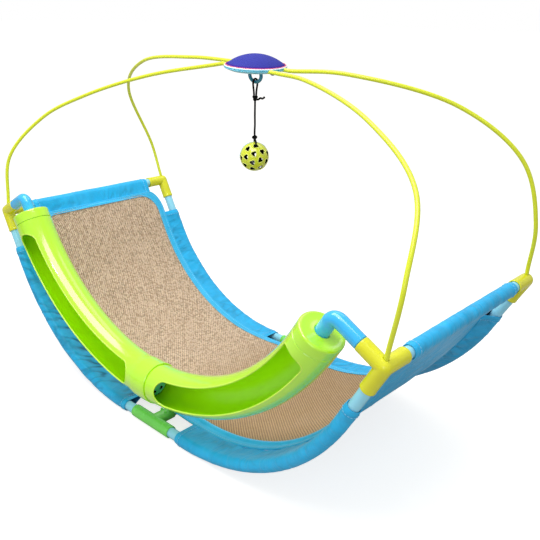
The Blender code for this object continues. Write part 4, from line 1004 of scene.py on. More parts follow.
@dataclass(frozen=True)
class BedPlan:
    """Sizes that several pieces share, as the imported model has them, and the lines they follow."""

    gap: float = 0.0003
    sheet_gap: float = 0.0004
    rail_straight: float = 0.074
    rail_bend_radius: float = 0.303
    rail_bend_angle: float = radians(61.6)
    rail_upper: float = 0.097
    rail_spacing: float = 0.335
    tube_radius: float = 0.0075
    tube_wall: float = 0.0013
    fitting_radius: float = 0.0094
    socket_stop: float = 0.0145
    corner_arm: float = 0.0367
    tee_half: float = 0.042
    tee_arm: float = 0.036
    tee_insertion: float = 0.022
    spigot_radius: float = 0.0066
    elbow_arm: float = 0.0336
    elbow_reach: float = 0.0748
    elbow_leg: float = 0.0427
    track_lift: float = 0.072
    track_radius: float = 0.0285
    track_wall: float = 0.0020
    neck_radius: float = 0.0281
    collar_end: float = 0.0206
    collar_overlap: float = 0.0236
    collar_stop: float = 0.0030
    collar_swell: float = 0.0195
    cap_length: float = 0.016
    cap_spigot: float = 0.008
    rod_radius: float = 0.0027
    rod_spacing: float = 0.028
    rod_sink: float = 0.0012
    hub_x: float = 0.041
    hub_height: float = 0.503
    hub_tilt: float = radians(3.0)
    hub_lean: float = radians(3.5)
    eye_radius: float = 0.0088
    eye_half_width: float = 0.0108
    eye_wire: float = 0.0024
    eye_drop: float = 0.0118
    loop_length: float = 0.0215
    strand_length: float = 0.0545
    toy_drop: float = 0.0265
    ball_radius: float = 0.0205
    ball_seat: float = 0.0004
    side_depth: float = 0.028
    end_depth: float = 0.020
    sling_thickness: float = 0.0012
    sling_sag: float = 0.004
    lift_span: float = 0.057
    mat_thickness: float = 0.0030

    @property
    def half_length(self) -> float:
        """Length of a rail's line from the tee to the corner."""
        return self.rail_straight + self.rail_bend_radius * self.rail_bend_angle + self.rail_upper

    @property
    def floor_to_rail(self) -> float:
        """Height of the rail's line over the floor at the tee."""
        return self.fitting_radius - 0.0003

    @property
    def centre_shift(self) -> float:
        """Y of the line between the front and back rails."""
        return (self.neck_radius + self.gap + self.track_wall - self.fitting_radius) / 2

    @property
    def collar_radius(self) -> float:
        """Outer radius of the track's collar."""
        return self.neck_radius + self.gap + self.track_wall

    @property
    def sling_half(self) -> Pair:
        """Half length and half width of the sling."""
        return self.half_length - self.end_depth - self.gap, self.rail_spacing / 2 - self.side_depth - self.gap

    @property
    def mat_half(self) -> Pair:
        """Half length and half width of the mat."""
        return self.sling_half[0] - 0.004, self.sling_half[1] - 0.012

    def rail_point(self, distance: float) -> tuple[Vector, Vector, Vector]:
        """Place, direction and inward normal of the rail's line, a signed distance from its tee."""
        side = 1.0 if distance >= 0 else -1.0
        along = abs(distance)
        bend = self.rail_bend_radius
        turn = min(max((along - self.rail_straight) / bend, 0.0), self.rail_bend_angle)
        beyond = max(along - self.rail_straight - bend * self.rail_bend_angle, 0.0)
        x = min(along, self.rail_straight) + bend * sin(turn) + beyond * cos(turn)
        z = bend * (1.0 - cos(turn)) + beyond * sin(turn)
        return (Vector((side * x, 0.0, self.floor_to_rail + z)), Vector((cos(turn), 0.0, side * sin(turn))),
                Vector((-side * sin(turn), 0.0, cos(turn))))

    def side_y(self, front: bool) -> float:
        """Y of the front or back rail."""
        return self.centre_shift + (-self.rail_spacing if front else self.rail_spacing) / 2

    def corner(self, side: float, front: bool) -> tuple[Vector, Vector, Vector, Vector]:
        """Corner centre, directions down the rail, along the cross tube and up to the elbow."""
        place, direction, normal = self.rail_point(side * self.half_length)
        centre = place + Vector((0.0, self.side_y(front), 0.0))
        return centre, -side * direction, Vector((0.0, 1.0 if front else -1.0, 0.0)), normal

    def track_arc(self) -> Pair:
        """Radius and half angle of the track's arc."""
        place, direction, _ = self.rail_point(self.half_length)
        x = place.x - self.elbow_reach * direction.z
        rise = place.z - self.floor_to_rail + self.elbow_reach * direction.x - self.track_lift
        radius = (x ** 2 + rise ** 2 - self.elbow_leg ** 2) / (2 * rise)
        return radius, atan2(x, radius - rise) - atan2(self.elbow_leg, radius)

    def track_point(self, angle: float, off_axis: float = 0.0, towards: float = 0.0) -> Vector:
        """Point by the track's arc: off_axis away from the arc's centre, towards the front."""
        radius = self.track_arc()[0]
        height = self.floor_to_rail + self.track_lift + radius
        return Vector(((radius + off_axis) * sin(angle), self.side_y(True) - towards,
                       height - (radius + off_axis) * cos(angle)))

    def track_end(self, side: float) -> tuple[Vector, Vector]:
        """Centre and outward direction of an end of the track's tube."""
        radius, last = self.track_arc()
        end = self.track_point(side * last)
        return end, (end - self.track_point(side * (last - 1.1 * self.cap_spigot / radius))).normalized()

    def elbow_meeting(self, side: float) -> Vector:
        """Where the elbow's two legs meet."""
        centre, _, _, up = self.corner(side, True)
        end, outward = self.track_end(side)
        gap = end - centre
        cross = up.x * outward.z - up.z * outward.x
        return centre + up * ((gap.x * outward.z - gap.z * outward.x) / cross)

    def hub_place(self) -> Matrix:
        """Placement of the hub, leaning a little to the right and to the front."""
        place = Matrix.Translation((self.hub_x, self.centre_shift, self.floor_to_rail + self.hub_height))
        return place @ Matrix.Rotation(self.hub_lean, 4, "Y") @ Matrix.Rotation(self.hub_tilt, 4, "X")

    def eye_bottom(self) -> Vector:
        """Middle of the eye's lowest stretch, which the cord hangs on."""
        return self.hub_place() @ Vector((0.0, 0.0, -self.eye_drop - self.eye_radius))

    def sheet_point(self, distance: float, y: float, height: float) -> Vector:
        """Point over the sling's middle surface, which is held at its seams and over the cross tube."""
        place, _, normal = self.rail_point(distance)
        held = 0.0
        if abs(distance) < self.lift_span:
            held = cos(pi / 2 * distance / self.lift_span) ** 2
        half_length, half_width = self.sling_half
        across = max(1.0 - (y / half_width) ** 2, 0.0)
        along = max(1.0 - (distance / half_length) ** 4, 0.0)
        offset = self.tube_radius + self.sling_thickness / 2 + self.sheet_gap + height
        offset += (self.fitting_radius - self.tube_radius) * held - self.sling_sag * across * along * (1.0 - held)
        return place + normal * offset + Vector((0.0, y + self.centre_shift, 0.0))


@dataclass
class SubAssembly:
    """What every sub-assembly has: the plan, the finishes and the node-made repeats."""

    plan: BedPlan
    finish: FinishSet
    repeats: Repeats

    def own(self, piece: Object, slot: Slot, *nodes: str, body: Body = Body.FRAME) -> Object:
        """Let a piece ride on a body and take the place of CAD nodes."""
        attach(piece, body.value)
        if nodes:
            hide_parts(*nodes)
        LOG.info("%s: %d faces, rides on %s", piece.name, len(piece.data.polygons), body.value)
        return piece


# ---------------------------------------------------------------- frame of tubes


@dataclass
class TubeFrame(SubAssembly):
    """Bent side rails and straight cross tubes."""

    sides: int = 40
    rim: float = 0.0004
    step: float = 0.004
    rail_steps: int = 160
    cross_steps: int = 20

    def tube(self, name: str, route: Route) -> Object:
        """Open tube with a wall and rounded rims along a line."""
        outer, rim, end = self.plan.tube_radius, self.rim, route.length
        inner, count = outer - self.plan.tube_wall, max(int(end / self.step), 2)
        middle = [rim + (end - 2 * rim) * i / count for i in range(count + 1)]
        profile = [(0.0, outer - rim)] + [(s, outer) for s in middle] + [(end, outer - rim)]
        profile += [(end, inner + rim)] + [(s, inner) for s in reversed(middle)] + [(0.0, inner + rim)]
        return swept(name, route, profile, self.sides, [self.finish.tube], hollow=True)

    def build(self) -> None:
        """Build the four rails and the three cross tubes."""
        plan = self.plan
        start, end = plan.tee_half - plan.tee_insertion, plan.half_length - plan.socket_stop
        for side in (-1.0, 1.0):
            for front in (True, False):
                hand, depth = left_or_right(side), front_or_back(front)
                shift = Vector((0.0, plan.side_y(front), 0.0))
                points = [plan.rail_point(side * s)[0] + shift for s in evenly(start, end, self.rail_steps)]
                route = Route(points, start_side=Vector((0.0, 1.0, 0.0)))
                self.own(self.tube(f"{depth}_side_tube_{hand}", route), Slot.TUBE, f"{depth}_rail_{hand}")
        for name, distance in (("left_cross_tube", -plan.half_length), ("bottom_cross_tube", 0.0),
                               ("right_cross_tube", plan.half_length)):
            place = plan.rail_point(distance)[0]
            ends = [place + Vector((0.0, plan.side_y(front) + shift * plan.socket_stop, 0.0))
                    for front, shift in ((True, 1.0), (False, -1.0))]
            route = Route([ends[0].lerp(ends[1], i / self.cross_steps) for i in range(self.cross_steps + 1)])
            self.own(self.tube(name + "_fine", route), Slot.TUBE, name)


@dataclass
class Fittings(SubAssembly):
    """Moulded tees at the bottom and connectors at the four corners."""

    voxel: float = 0.0006
    smoothing: int = 7
    web: float = 0.026
    web_thickness: float = 0.0036
    rounding: float = 0.0010
    arm_sides: int = 40
    tee_web: float = 0.013
    tee_web_thickness: float = 0.009
    tee_stop: float = 0.020
    elbow_socket: float = 0.016
    stud_inset: float = 0.0205
    stud_offset: float = 0.00475
    ridge_half: float = 0.0395
    ridge_radius: float = 0.0007

    def arm(self, origin: Vector, direction: Vector, length: float, radius: float, lip: float = 0.0003) -> Object:
        """Round arm with a rounded mouth and a faint bead behind it."""
        rounding, edge = self.rounding, radius + lip - self.rounding
        profile = [(0.0, 0.0), (radius, 0.0), (radius, length - 0.0042), (radius + lip, length - 0.0036)]
        profile += [(radius + lip, length - rounding)]
        profile += arc((edge, length - rounding), rounding, 0.0, pi / 2, 4)[1:] + [(0.0, length)]
        return turned("arm", profile, self.arm_sides, frame_along(origin, direction))

    def bore(self, origin: Vector, direction: Vector, start: float, end: float, radius: float) -> Object:
        """Cutter for an arm's bore, opening out at the mouth."""
        profile = [(0.0, start), (radius, start), (radius, end - 0.0007), (radius + 0.0009, end + 0.0004),
                   (radius + 0.0009, end + 0.002), (0.0, end + 0.002)]
        return turned("bore", profile, self.arm_sides, frame_along(origin, direction))

    def hollow_web(self, origin: Vector, first: Vector, second: Vector, reach: float, thickness: float) -> Object:
        """Web in the corner of two arms, hollowed on its free side."""
        outline = [(0.0, 0.0)] + arc((reach, reach), reach, -pi / 2, -pi, 12)
        matrix = Matrix.Translation(origin) @ Matrix((first, second, first.cross(second))).transposed().to_4x4()
        return slab("web", outline, -thickness / 2, thickness / 2, matrix)

    def rod_line(self, side: float, front: bool) -> tuple[Vector, Vector]:
        """Centre of a corner and the direction in which its rod leaves it."""
        points = RodArch.quarter(self.plan, side, front)
        return points[0], (points[1] - points[0]).normalized()

    def connector(self, side: float, front: bool) -> Object:
        """Corner connector with its arms, webs and the dished hole of the rod."""
        plan = self.plan
        centre, down, across, up = plan.corner(side, front)
        radius = plan.fitting_radius
        ball = [(radius * sin(a), radius * cos(a)) for a in evenly(0.0, pi, 20)]
        parts = [turned("knuckle", ball, self.arm_sides, Matrix.Translation(centre)),
                 self.arm(centre, down, plan.corner_arm, radius), self.arm(centre, across, plan.corner_arm, radius),
                 self.hollow_web(centre, down, across, self.web, self.web_thickness)]
        hole = plan.tube_radius + plan.gap
        bores = [self.bore(centre, way, plan.socket_stop, plan.corner_arm, hole) for way in (down, across)]
        if front:
            parts += [self.arm(centre, up, plan.elbow_arm, radius, lip=0.0),
                      self.hollow_web(centre, down, up, self.web * 0.8, self.web_thickness)]
            bores.append(self.bore(centre, up, plan.elbow_arm - self.elbow_socket, plan.elbow_arm,
                                   plan.spigot_radius + plan.gap))
        start, lead = self.rod_line(side, front)
        rod = plan.rod_radius + plan.gap
        wide, past = 0.0062, 0.03
        dish = [(0.0, 0.0), (rod, 0.0), (rod, radius - 0.0024), (0.0040, radius - 0.0012), (wide, radius + 0.0008),
                (wide, past), (0.0, past)]
        bores.append(turned("dish", dish, 32, frame_along(start - lead * plan.gap, lead)))
        name = f"{front_or_back(front)}_{left_or_right(side)}_connector"
        body = fuse(name + "_moulded", parts, self.finish.connector, self.voxel, self.smoothing)
        return self.own(carve(body, bores), Slot.CONNECTOR, name)

    def tee(self, front: bool) -> Object:
        """Bottom tee: a sleeve along the rail with an arm for the cross tube, a ridge and two press studs."""
        plan = self.plan
        centre = plan.rail_point(0.0)[0] + Vector((0.0, plan.side_y(front), 0.0))
        inward, along, up = Vector((0.0, 1.0 if front else -1.0, 0.0)), Vector((1.0, 0.0, 0.0)), Vector((0.0, 0.0, 1.0))
        radius = plan.fitting_radius
        parts = [self.arm(centre, along * s, plan.tee_half, radius, lip=0.0) for s in (-1.0, 1.0)]
        parts.append(self.arm(centre, inward, plan.tee_arm, radius, lip=0.0))
        parts += [self.hollow_web(centre, along * s, inward, radius + self.tee_web, self.tee_web_thickness)
                  for s in (-1.0, 1.0)]
        studs, wide, sunk = [], 0.0021, 0.006
        for s in (-1.0, 1.0):
            stud = [(0.0, radius + 0.0016), (0.0014, radius + 0.0015), (wide, radius + 0.0009), (wide, sunk),
                    (0.0, sunk)]
            place = centre + inward * self.stud_inset + along * s * self.stud_offset
            studs.append(turned("stud", stud, 20, frame_along(place, up), [self.finish.tee]))
        name = f"{front_or_back(front)}_tee"
        body = fuse(name + "_moulded", parts, self.finish.tee, self.voxel, self.smoothing)
        hole = plan.tube_radius + plan.gap
        cuts = [self.bore(centre, along * s, self.tee_stop, plan.tee_half, hole) for s in (-1.0, 1.0)]
        cuts.append(self.bore(centre, inward, plan.socket_stop, plan.tee_arm, hole))
        far, wide, deep = 0.08, 0.05, 0.03
        square = [(-far, -wide), (far, -wide), (far, wide), (-far, wide)]
        cuts.append(slab("ground", square, -deep, 0.0, Matrix.Translation((0.0, centre.y, 0.0))))
        carve(body, cuts)
        ridge = [centre + along * x + up * (radius - 0.0001) for x in evenly(-self.ridge_half, self.ridge_half, 30)]
        bead = self.repeats.beads("ridge", [ridge], self.finish.tee, self.ridge_radius, closed=False)
        return self.own(join(name + "_moulded", [body, bead] + studs), Slot.TEE, name)

    def build(self) -> None:
        """Build both tees and the four connectors."""
        for front in (True, False):
            self.tee(front)
            for side in (-1.0, 1.0):
                self.connector(side, front)


# ---------------------------------------------------------------- ball track


@dataclass
class BallTrack(SubAssembly):
    """Track of two windowed tube halves, its caps and the elbows that carry it."""

    sides: int = 72
    shell_steps: int = 180
    swell_steps: int = 24
    elbow_radius: float = 0.0090
    window_half: float = 0.0180
    window_raise: float = 0.0025
    left_window: Pair = (-0.949, -0.064)
    right_window: Pair = (0.112, 0.956)
    square_round: float = 0.0090
    lip: float = 0.00125
    rim: float = 0.0006
    edge_steps: int = 90
    corner_steps: int = 12
    round_steps: int = 28
    shoulder: float = 0.0030
    bend: float = 0.0105
    spigot: float = 0.0155
    elbow_sunk: float = 0.0095

    def outer_radius(self, angle: float, left: bool) -> float:
        """Outer radius of a half: the left one swells into its collar, the right one has a neck inside it."""
        plan, arc_radius = self.plan, self.plan.track_arc()[0]
        if not left:
            share = min(max((angle * arc_radius - plan.collar_end - 0.0004) / 0.0012, 0.0), 1.0)
            return plan.neck_radius + (plan.track_radius - plan.neck_radius) * share
        swell_end = plan.collar_end - plan.collar_overlap - plan.collar_stop
        share = min(max((angle * arc_radius - swell_end) / plan.collar_swell + 1.0, 0.0), 1.0)
        return plan.track_radius + (plan.collar_radius - plan.track_radius) * share * share * (3.0 - 2.0 * share)

    def window(self, span: Pair, square_end: bool) -> list[Pair]:
        """Outline of a window: angle along the arc and distance off the tube's axis, all the way round."""
        radius, last_angle = self.plan.track_arc()
        middle, half = -self.window_raise, self.window_half
        rounds = (half, self.square_round if square_end else half)
        first, last = span[0] * last_angle + rounds[0] / radius, span[1] * last_angle - rounds[1] / radius
        points = [(a, middle + half) for a in evenly(first, last, self.edge_steps)[:-1]]
        for angle_at, size, begin, finish in ((last, rounds[1], pi / 2, 0.0), (last, rounds[1], 0.0, -pi / 2)):
            level = middle + (half - size) * (1.0 if begin > 0.0 else -1.0)
            points += [(angle_at + size * cos(t) / radius, level + size * sin(t))
                       for t in evenly(begin, finish, self.corner_steps)[:-1]]
        points += [(a, middle - half) for a in evenly(last, first, self.edge_steps)[:-1]]
        points += [(first + half * cos(t) / radius, middle + half * sin(t))
                   for t in (-pi / 2 - pi * i / self.round_steps for i in range(self.round_steps))]
        return points

    def half(self, left: bool) -> Object:
        """One half: shell, window and the rounded lip round the window."""
        plan = self.plan
        radius, last_angle = plan.track_arc()
        begin = (plan.collar_end - plan.collar_overlap) / radius
        ends = (-last_angle, plan.collar_end / radius) if left else (begin, last_angle)
        swell_end = plan.collar_end - plan.collar_overlap - plan.collar_stop
        marks = set(evenly(*ends, self.shell_steps))
        if left:
            steps = self.swell_steps
            marks |= {(swell_end - plan.collar_swell * i / steps) / radius for i in range(steps + 1)}
        angles = sorted(marks)
        points = [plan.track_point(a) for a in angles]
        route = Route(points, start_side=Vector((0.0, 1.0, 0.0)))
        rim = self.rim
        outer = [(route.lengths[i], self.outer_radius(a, left)) for i, a in enumerate(angles)]
        inner = [(s, r - plan.track_wall) for s, r in outer]
        outer[0], outer[-1] = (0.0, outer[0][1] - rim), (route.length, outer[-1][1] - rim)
        outer.insert(1, (rim, outer[1][1]))
        outer.insert(-1, (route.length - rim, outer[-2][1]))
        outside = len(outer)
        # The tube's inner wall takes the track's inside copy, coloured for the light there.
        shell = swept("half", route, outer + inner[::-1], self.sides,
                      [self.finish.track, self.finish.track_inside_painted_light], hollow=True,
                      finish_of=lambda i, j: 1 if outside <= i < outside + len(inner) - 1 else 0)
        outline = self.window(self.left_window if left else self.right_window, not left)
        height = plan.floor_to_rail + plan.track_lift + radius
        flat = [((radius + off) * sin(a), height - (radius + off) * cos(a)) for a, off in outline]
        upright = Matrix(((1, 0, 0, 0), (0, 0, -1, plan.side_y(True)), (0, 1, 0, 0), (0, 0, 0, 1)))
        carve(shell, [slab("window", flat, 0.004, 0.05, upright, [self.finish.track_lip_highlight])])
        edge = []
        for angle, off in outline:
            middle = self.outer_radius(angle, left) - plan.track_wall / 2
            edge.append(plan.track_point(angle, off, sqrt(max(middle ** 2 - off ** 2, 0.0))))
        # The lip bead takes the paler copy of the plastic, a painted highlight.
        lip = self.repeats.beads("lip", [edge], self.finish.track_lip_highlight, self.lip)
        name = f"track_{'left' if left else 'right'}_half"
        return self.own(join(name + "_windowed", [shell, lip]), Slot.TRACK, name)

    def cap(self, side: float) -> Object:
        """End cap with a rounded shoulder, a dished plate and a groove where it meets the tube."""
        plan = self.plan
        end, outward = plan.track_end(side)
        hole, top, radius, size = 0.0093, plan.cap_length, plan.track_radius, self.shoulder
        shoulder = arc((radius - size, top - size), size, pi / 2, 0.0, 8)
        dish = [(hole, top - 0.0006), (hole + 0.0012, top - 0.0001), (hole + 0.0030, top - 0.0005),
                (radius - 0.0065, top - 0.0005), (radius - 0.0045, top)]
        skirt = [(radius, 0.0008), (radius - 0.0005, plan.gap), (radius - 0.0024, plan.gap)]
        inside = [(radius - 0.0026, -plan.cap_spigot), (radius - 0.0046, -plan.cap_spigot),
                  (radius - 0.0046, top - 0.0030), (hole, top - 0.0030)]
        name = f"track_{left_or_right(side)}_cap"
        # The cap's inside takes the track's inside copy, coloured for the light there.
        body = turned(name + "_turned", dish + shoulder + skirt + inside, self.sides, frame_along(end, outward),
                      [self.finish.track, self.finish.track_inside_painted_light], closed=True,
                      finish_of=lambda i, j: 1 if i >= len(dish + shoulder + skirt) else 0)
        return self.own(body, Slot.TRACK, name)

    def elbow(self, side: float) -> Object:
        """Bent holder from the connector's upper arm into the cap, with a spigot."""
        plan = self.plan
        centre, _, _, up = plan.corner(side, True)
        end, outward = plan.track_end(side)
        meet = plan.elbow_meeting(side)
        start, finish = centre + up * (plan.elbow_arm + plan.gap), end + outward * (plan.cap_length - self.elbow_sunk)
        to_start, to_finish, bend = up * -1.0, outward * -1.0, self.bend
        half = to_start.angle(to_finish) / 2
        hollow = meet + (to_start + to_finish).normalized() * (bend / sin(half))
        first = (meet + to_start * bend / tan(half) - hollow).normalized()
        last = (meet + to_finish * bend / tan(half) - hollow).normalized()
        curve = [hollow + first.slerp(last, i / 22).normalized() * bend for i in range(23)]
        line = [start.lerp(curve[0], i / 8) for i in range(8)] + curve
        line += [curve[-1].lerp(finish, i / 14) for i in range(1, 15)]
        spigot = start - up * self.spigot
        route = Route([spigot] + line)
        along = route.lengths[1]
        inner = plan.spigot_radius
        profile = [(0.0, 0.0), (0.0, 0.0060), (0.0006, inner), (along, inner), (along, 0.0082)]
        small = 0.0008
        profile += [(along + small * sin(t), 0.0082 + small * (1 - cos(t))) for t in evenly(0.0, pi / 2, 4)[1:]]
        profile += [(s, self.elbow_radius) for s in route.lengths[2:-1]]
        profile += [(route.length - 0.0006, self.elbow_radius), (route.length, 0.0084), (route.length, 0.0)]
        name = f"{left_or_right(side)}_elbow"
        return self.own(swept(name + "_bent", route, profile, 48, [self.finish.elbow]), Slot.ELBOW, name)

    def build(self) -> None:
        """Build the halves, the caps and the elbows."""
        for left in (True, False):
            self.half(left)
        for side in (-1.0, 1.0):
            self.cap(side)
            self.elbow(side)


# ---------------------------------------------------------------- rods and hub


@dataclass
class RodArch(SubAssembly):
    """Two long flexible rods, and the hub that clamps them."""

    hub_radius: float = 0.0430
    disc_inset: float = 0.0026
    crown: float = 0.0140
    base_depth: float = 0.0050
    base_cone: float = 0.0090
    top_edge: float = 0.0024
    rivet_inset: float = 0.0110
    rivet_head: float = 0.0026
    hub_sides: int = 96
    rim_round: float = 0.0013
    line_offset: float = 0.0004
    line_radius: float = 0.0006
    rod_round: float = 0.0005

    BENDS = {
        (1, True): ((-0.045, 0.007, 0.364), (0.055, 0.360, 0.651), (0.376, 0.674, 0.861), (0.808, 0.951, 0.983)),
        (1, False): ((-0.028, 0.130, 0.329), (0.046, 0.238, 0.639), (0.293, 0.493, 0.878), (0.680, 0.980, 1.008)),
        (-1, True): ((0.005, 0.087, 0.350), (0.113, 0.382, 0.605), (0.293, 0.636, 0.753), (0.596, 0.887, 0.896)),
        (-1, False): ((-0.035, 0.079, 0.281), (0.019, 0.495, 0.704), (0.339, 0.849, 0.945), (0.716, 0.938, 1.000)),
    }

    @classmethod
    def quarter(cls, plan: BedPlan, side: float, front: bool) -> list[Vector]:
        """Points of a rod from its corner to the hub."""
        centre = plan.corner(side, front)[0]
        offset = -plan.rod_spacing / 2 if front else plan.rod_spacing / 2
        target = plan.hub_place() @ Vector((side * 0.050, offset, -plan.rod_sink))
        way = target - centre
        bends = [centre + Vector((way.x * x, way.y * y, way.z * z)) for x, y, z in cls.BENDS[(int(side), front)]]
        lead = (bends[0] - centre).normalized()
        return [centre + lead * 0.003, centre + lead * (plan.fitting_radius + 0.003)] + bends + [target]

    def rod(self, front: bool) -> Object:
        """One rod from corner to corner through the hub."""
        left, right = self.quarter(self.plan, -1.0, front), self.quarter(self.plan, 1.0, front)
        points = [left[0]] + smooth_curve(left[1:], 14) + smooth_curve(right[:0:-1], 14) + [right[0]]
        route, radius, edge = Route(points), self.plan.rod_radius, self.rod_round
        profile = [(0.0, 0.0), (0.0, radius - edge), (edge, radius)] + [(s, radius) for s in route.lengths[1:-1]]
        profile += [(route.length - edge, radius), (route.length, radius - edge), (route.length, 0.0)]
        name = f"{front_or_back(front)}_rod"
        return self.own(swept(name + "_bent", route, profile, 20, [self.finish.rod]), Slot.ROD, name)

    def hub(self) -> None:
        """Base with the eye, rim, crowned disc and clips."""
        plan, place, finish = self.plan, self.plan.hub_place(), self.finish
        radius, low, high, half_gap = self.hub_radius, -self.base_depth, self.top_edge, self.plan.gap / 2
        foot = [(0.0, -half_gap), (radius - 0.0004, -half_gap), (radius, -half_gap - 0.0004), (radius, -0.0011),
                (radius - 0.0005, -0.0017), (radius - self.base_cone + 0.0010, low + 0.0002),
                (radius - self.base_cone - 0.0004, low), (radius - self.base_cone - 0.0010, low + 0.0004),
                (0.0, low + 0.0004)]
        base = turned("base", foot, self.hub_sides, place, [finish.hub_base])
        ring = [place @ Vector((plan.eye_half_width * cos(a), 0.0, plan.eye_radius * sin(a) - plan.eye_drop))
                for a in evenly(0.0, 2 * pi, 64)[:-1]]
        # The eye takes the darker copy of the cyan, painted shade.
        eye = self.repeats.beads("eye", [ring], finish.hub_eye_shade, plan.eye_wire, sides=20)
        self.own(join("hub_base_turned", [base, eye]), Slot.HUB_BASE, "hub_base")
        seat = radius - self.disc_inset
        ledge = [(0.0, high - 0.0008), (seat, high - 0.0008), (seat, high - 0.0001), (seat + 0.0011, high)]
        rim = arc((radius - self.rim_round, high - self.rim_round), self.rim_round, pi / 2, 0.0, 8)
        edge = [(radius, half_gap + 0.0003), (radius - 0.0003, half_gap), (0.0, half_gap)]
        coats = [finish.hub_rim, finish.hub_line, finish.hub_base]
        top = turned("hub_top_turned", ledge + rim + edge, self.hub_sides, place, coats,
                     finish_of=lambda i, j: 1 if i == 2 else (2 if i >= len(ledge) + 6 else 0))
        seam = seat + self.line_offset
        ring = [place @ Vector((seam * cos(a), seam * sin(a), high + 0.0002)) for a in evenly(0.0, 2 * pi, 120)[:-1]]
        line = self.repeats.beads("rose_line", [ring], finish.hub_line, self.line_radius)
        self.own(join("hub_top_turned", [top, line]), Slot.HUB_TOP, "hub_top")
        disc = seat - plan.gap
        dome = (disc ** 2 + self.crown ** 2) / (2 * self.crown)
        face = [(r, high + self.crown - dome + sqrt(dome ** 2 - r * r)) for r in evenly(0.0, disc, 28)]
        face[-1] = (disc - 0.0004, high + 0.0002)
        face += [(disc, high - 0.0003), (disc, high - 0.0005), (0.0, high - 0.0005)]
        body = turned("hub_disc_turned", face, self.hub_sides, place, [finish.hub_disc, finish.hub_disc_edge],
                      finish_of=lambda i, j: int(i >= 26))
        self.own(body, Slot.HUB_DISC, "hub_disc")
        for side, name in ((-1.0, "hub_rivet_left"), (1.0, "hub_rivet_right")):
            head, tip = low - plan.gap, low - plan.gap - self.rivet_head
            profile = [(0.0, low + 0.006), (0.0020, low + 0.006), (0.0022, low + 0.0055), (0.0022, head)]
            profile += [(0.0038, head), (0.0040, head - 0.0004), (0.0036, head - 0.0012), (0.0024, tip + 0.0003),
                        (0.0018, tip), (0.0, tip)]
            seat_place = place @ Matrix.Translation((side * (radius - self.rivet_inset), 0.0, 0.0))
            self.own(turned(name + "_turned", profile, 32, seat_place, [finish.rivet]), Slot.RIVET, name)

    def build(self) -> None:
        """Build both rods and the hub."""
        self.rod(True)
        self.rod(False)
        self.hub()


# ---------------------------------------------------------------- balls and the toy's cord


